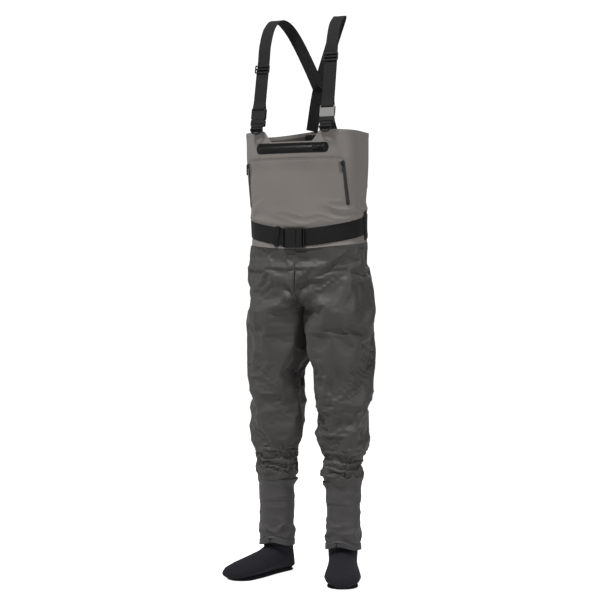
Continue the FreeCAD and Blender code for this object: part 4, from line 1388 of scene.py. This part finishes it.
def rear_anchors():
    """The webbing plate on the back edge that both straps are sewn to."""
    low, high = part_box("rear_strap_anchors")
    tree = tree_of(["rear_strap_anchors"])
    columns, rows = 50, 40
    x = np.linspace(low.x + 0.0008, high.x - 0.0008, columns)
    z = np.linspace(low.z + 0.0008, high.z - 0.0008, rows)
    made = []
    for name, way in (("rear_anchor_outer", 1.0), ("rear_anchor_inner", -1.0)):
        grid = np.zeros((rows, columns, 3))
        for i in range(rows):
            for j in range(columns):
                hit = tree.ray_cast(Vector((x[j], way * 0.5, z[i])), Vector((0, -way, 0)))
                y = hit[0].y if hit[0] is not None else np.nan
                grid[i, j] = (x[j], y, z[i])
        y = grid[..., 1]
        missing = np.isnan(y)
        y[missing] = np.nanmean(y)
        grid[..., 1] = y
        if way > 0:
            grid = grid[:, ::-1]
        item = sheet(name, grid, (WEBBING, WEBBING), uv=grid[..., [0, 2]].copy(), closed=False, thick=0.001)
        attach(item, "torso")
        made.append(item)
    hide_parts("rear_strap_anchors")
    return made


# ------------------------------------------------------------------- belt

BELT_SIZE = (0.050, 0.0022)
BELT_AWAY = 0.0046        # from the cloth to the middle of the belt


def belt_path(first, last, count):
    angle = np.linspace(first, last, count)
    return torso_surface(angle, belt_level(angle), BELT_AWAY)


def belt_lean(first, last, count):
    """Upright direction of the belt, following the lean of the waist."""
    angle = np.linspace(first, last, count)
    level = belt_level(angle)
    up = torso_surface(angle, level + 0.022) - torso_surface(angle, level - 0.022)
    return up / np.linalg.norm(up, axis=1, keepdims=True)


def belt():
    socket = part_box("belt_buckle_socket")
    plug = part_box("belt_buckle_plug")
    socket_x, plug_x = socket[0].x, plug[1].x
    probe = np.linspace(-120.0, -60.0, 600)
    x = belt_path(-120.0, -60.0, 600)[:, 0]
    right_start = float(np.interp(socket_x + 0.006, x, probe))
    left_start = float(np.interp(plug_x - 0.006, x, probe))
    split = -18.0
    made = []
    for name, first, last, count in (("belt_left", left_start, split, 120),
                                     ("belt_round", split, right_start + 360.0, 420)):
        path = belt_path(first, last, count)
        lean = belt_lean(first, last, count)
        item = ribbon(name, path, lean, BELT_SIZE[0], BELT_WEB, thick=BELT_SIZE[1])
        made.append(item)
    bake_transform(made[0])
    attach(made[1], "torso")
    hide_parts("belt_webbing")
    return made


def plan_angle(points):
    """Angle round the waist seen from above, cut open at the front: -90 to 270."""
    angle = np.degrees(np.arctan2(points[:, 1] - BODY_Y, points[:, 0]))
    return (angle + 90.0) % 360.0 - 90.0


def belt_loops():
    """Flat loops sewn on the waist, each bowed out over the belt."""
    mesh = frame["nodes"]["belt_loops"].data
    corners = np.array([tuple(v.co) for v in mesh.vertices])
    angle = plan_angle(corners)
    order = np.sort(angle)
    breaks = np.nonzero(np.diff(order) > 8.0)[0]
    made = []
    for index, group in enumerate(np.split(order, breaks + 1)):
        first, last = group.min(), group.max()
        columns, rows = 14, 70
        share = np.linspace(0.0, 1.0, rows)
        swell = np.sin(math.pi * share) ** 0.3
        angles = torso_angle(first, last, columns)
        level = belt_level(angles)
        height = level[None, :] + (0.086 * (share - 0.5))[:, None]
        away = 0.0006 + 0.0072 * swell
        grid = torso_surface(np.broadcast_to(angles, height.shape), height, away[:, None])
        item = sheet(f"belt_loop_{index + 1}", grid, (BELT_WEB, BELT_WEB), closed=False, thick=0.0013)
        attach(item, "torso")
        made.append(item)
    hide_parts("belt_loops")
    return made


def torso_angle(first, last, columns):
    """Plan angles as the torso's own parameter angles, which differ at corners."""
    probe = np.linspace(-89.5, 269.5, 2873)
    seen = plan_angle(torso_surface(probe, middle_of("belt_loops").z))
    order = np.argsort(seen)
    ends = np.interp([first, last], seen[order], probe[order])
    return np.linspace(ends[0], ends[1], columns)


# --------------------------------------------------------- hard parts

def hard_part(node, material, bevel=0.0006):
    """Shows a moulded or metal CAD node with softened edges."""
    item = frame["nodes"][node]
    item.data.materials.clear()
    item.data.materials.append(material)
    item.data.polygons.foreach_set("material_index", [0] * len(item.data.polygons))
    if bevel:
        edge = item.modifiers.new("edge", "BEVEL")
        edge.width = bevel
        edge.segments = 2
        edge.limit_method = "ANGLE"
        edge.angle_limit = math.radians(35)
        edge.harden_normals = False
    return item


def hard_parts():
    for side in SIDES:
        hard_part(side + "_buckle_plug", BLACK_PLASTIC)
        hard_part(side + "_buckle_socket", GREY_PLASTIC if side == "left" else BLACK_PLASTIC)
        hard_part(side + "_buckle_arm_outer", BLACK_PLASTIC)
        hard_part(side + "_buckle_arm_inner", BLACK_PLASTIC)
        hard_part(side + "_adjuster", BLACK_PLASTIC)
        hard_part(side + "_d_ring", ENAMEL, 0)
        hard_part(side + "_lace_hook", ENAMEL, 0.0002)
        hard_part(side + "_pocket_zip_slider", ENAMEL, 0.0003)
        hard_part(side + "_pocket_zip_pull", ENAMEL, 0.0002)
    for node in ("belt_buckle_plug", "belt_buckle_socket", "belt_buckle_arm_upper", "belt_buckle_arm_lower"):
        hard_part(node, BLACK_PLASTIC)
    hard_part("chest_zip_slider", ENAMEL, 0.0003)
    hard_part("chest_zip_pull", ENAMEL, 0.0002)
    hard_part("belt_keeper", BELT_WEB, 0.0003)


# ------------------------------------------------------- floor and lights

def studio():
    floor = new_object("floor", [(-8, -8, 0), (8, -8, 0), (8, 8, 0), (-8, 8, 0)], [(0, 1, 2, 3)],
                       smooth_faces=False)
    floor.location.z = -0.0005
    n = Nodes("pale_floor")
    n.shader.inputs["Base Color"].default_value = (0.86, 0.86, 0.86, 1.0)
    n.shader.inputs["Roughness"].default_value = 0.9
    n.shader.inputs["Emission Color"].default_value = (1.0, 1.0, 1.0, 1.0)
    seen = n.add("ShaderNodeLightPath").outputs["Is Camera Ray"]
    n.link(n.math("MULTIPLY", seen, 0.86), n.shader.inputs["Emission Strength"])
    floor.data.materials.append(n.material)
    world = bpy.data.worlds.new("studio")
    bpy.context.scene.world = world
    world.use_nodes = True
    tree = world.node_tree
    tree.nodes["Background"].inputs["Color"].default_value = (1.0, 1.0, 1.0, 1.0)
    tree.nodes["Background"].inputs["Strength"].default_value = WORLD_LIGHT
    seen = tree.nodes.new("ShaderNodeLightPath")
    backdrop = tree.nodes.new("ShaderNodeBackground")
    backdrop.inputs["Color"].default_value = (1.0, 1.0, 1.0, 1.0)
    backdrop.inputs["Strength"].default_value = 1.1
    choose = tree.nodes.new("ShaderNodeMixShader")
    tree.links.new(seen.outputs["Is Camera Ray"], choose.inputs[0])
    tree.links.new(tree.nodes["Background"].outputs[0], choose.inputs[1])
    tree.links.new(backdrop.outputs[0], choose.inputs[2])
    tree.links.new(choose.outputs[0], tree.nodes["World Output"].inputs["Surface"])
    for name, place, size, power in LIGHTS:
        data = bpy.data.lights.new(name, "AREA")
        data.energy = power
        data.size = size
        light = bpy.data.objects.new(name, data)
        light.location = place
        aim = Vector((0.0, BODY_Y, 0.85)) - Vector(place)
        light.rotation_euler = aim.to_track_quat("-Z", "Y").to_euler()
        bpy.context.scene.collection.objects.link(light)
    bpy.context.scene.view_settings.view_transform = "Standard"


WORLD_LIGHT = 0.14
LIGHTS = [
    ("key", (-0.6, -2.0, 4.8), 0.8, 215.0),
    ("left_side", (-3.2, -1.2, 1.8), 1.2, 26.0),
    ("right_side", (3.2, -1.6, 1.9), 1.2, 55.0),
    ("back", (0.5, 3.0, 3.0), 2.0, 24.0),
]

CAMERA_TURN = 22.0
CAMERA_AWAY = 4.3
CAMERA_HEIGHT = 0.85
CAMERA_LENS = 86.0


def camera():
    data = bpy.data.cameras.new("camera")
    data.lens = CAMERA_LENS
    data.sensor_width = 36.0
    item = bpy.data.objects.new("camera", data)
    turn = math.radians(CAMERA_TURN)
    axis = Vector((0.0, BODY_Y_AXIS, CAMERA_HEIGHT))
    away = Vector((math.sin(turn), -math.cos(turn), 0.0))
    right = Vector((math.cos(turn), math.sin(turn), 0.0))
    item.location = axis + away * CAMERA_AWAY - right * 0.007
    aim = axis - right * 0.007 + Vector((0.0, 0.0, -0.0525)) - item.location
    item.rotation_euler = aim.to_track_quat("-Z", "Y").to_euler()
    bpy.context.scene.collection.objects.link(item)
    bpy.context.scene.camera = item


WELD_SATIN = plastic_material("weld_satin", srgb(16, 15, 16), 0.42, edge_highlight=0.05)

bib_sheet()
pocket_panel()
chest_patch()
chest_coil()
inner_pocket()
starts = {side: leg_start(side) for side in SIDES}
closed_rows = starts["left"][2].mean(axis=1)[len(TUCK):] < CROTCH + 0.001
fallen = drape({side: starts[side][0][len(TUCK):] for side in SIDES}, closed_rows)
for side in SIDES:
    side_zip(side)
    finish_leg(side, leg_grid(side, starts[side], fallen[side]), starts[side][2])
    guard_sheet(side)
    sock(side)
    strap_back_layer(side)
    strap_returned_layer(side)
    front_tab(side)
cross_patch()
rear_anchors()
belt()
belt_loops()
hard_parts()
studio()
camera()
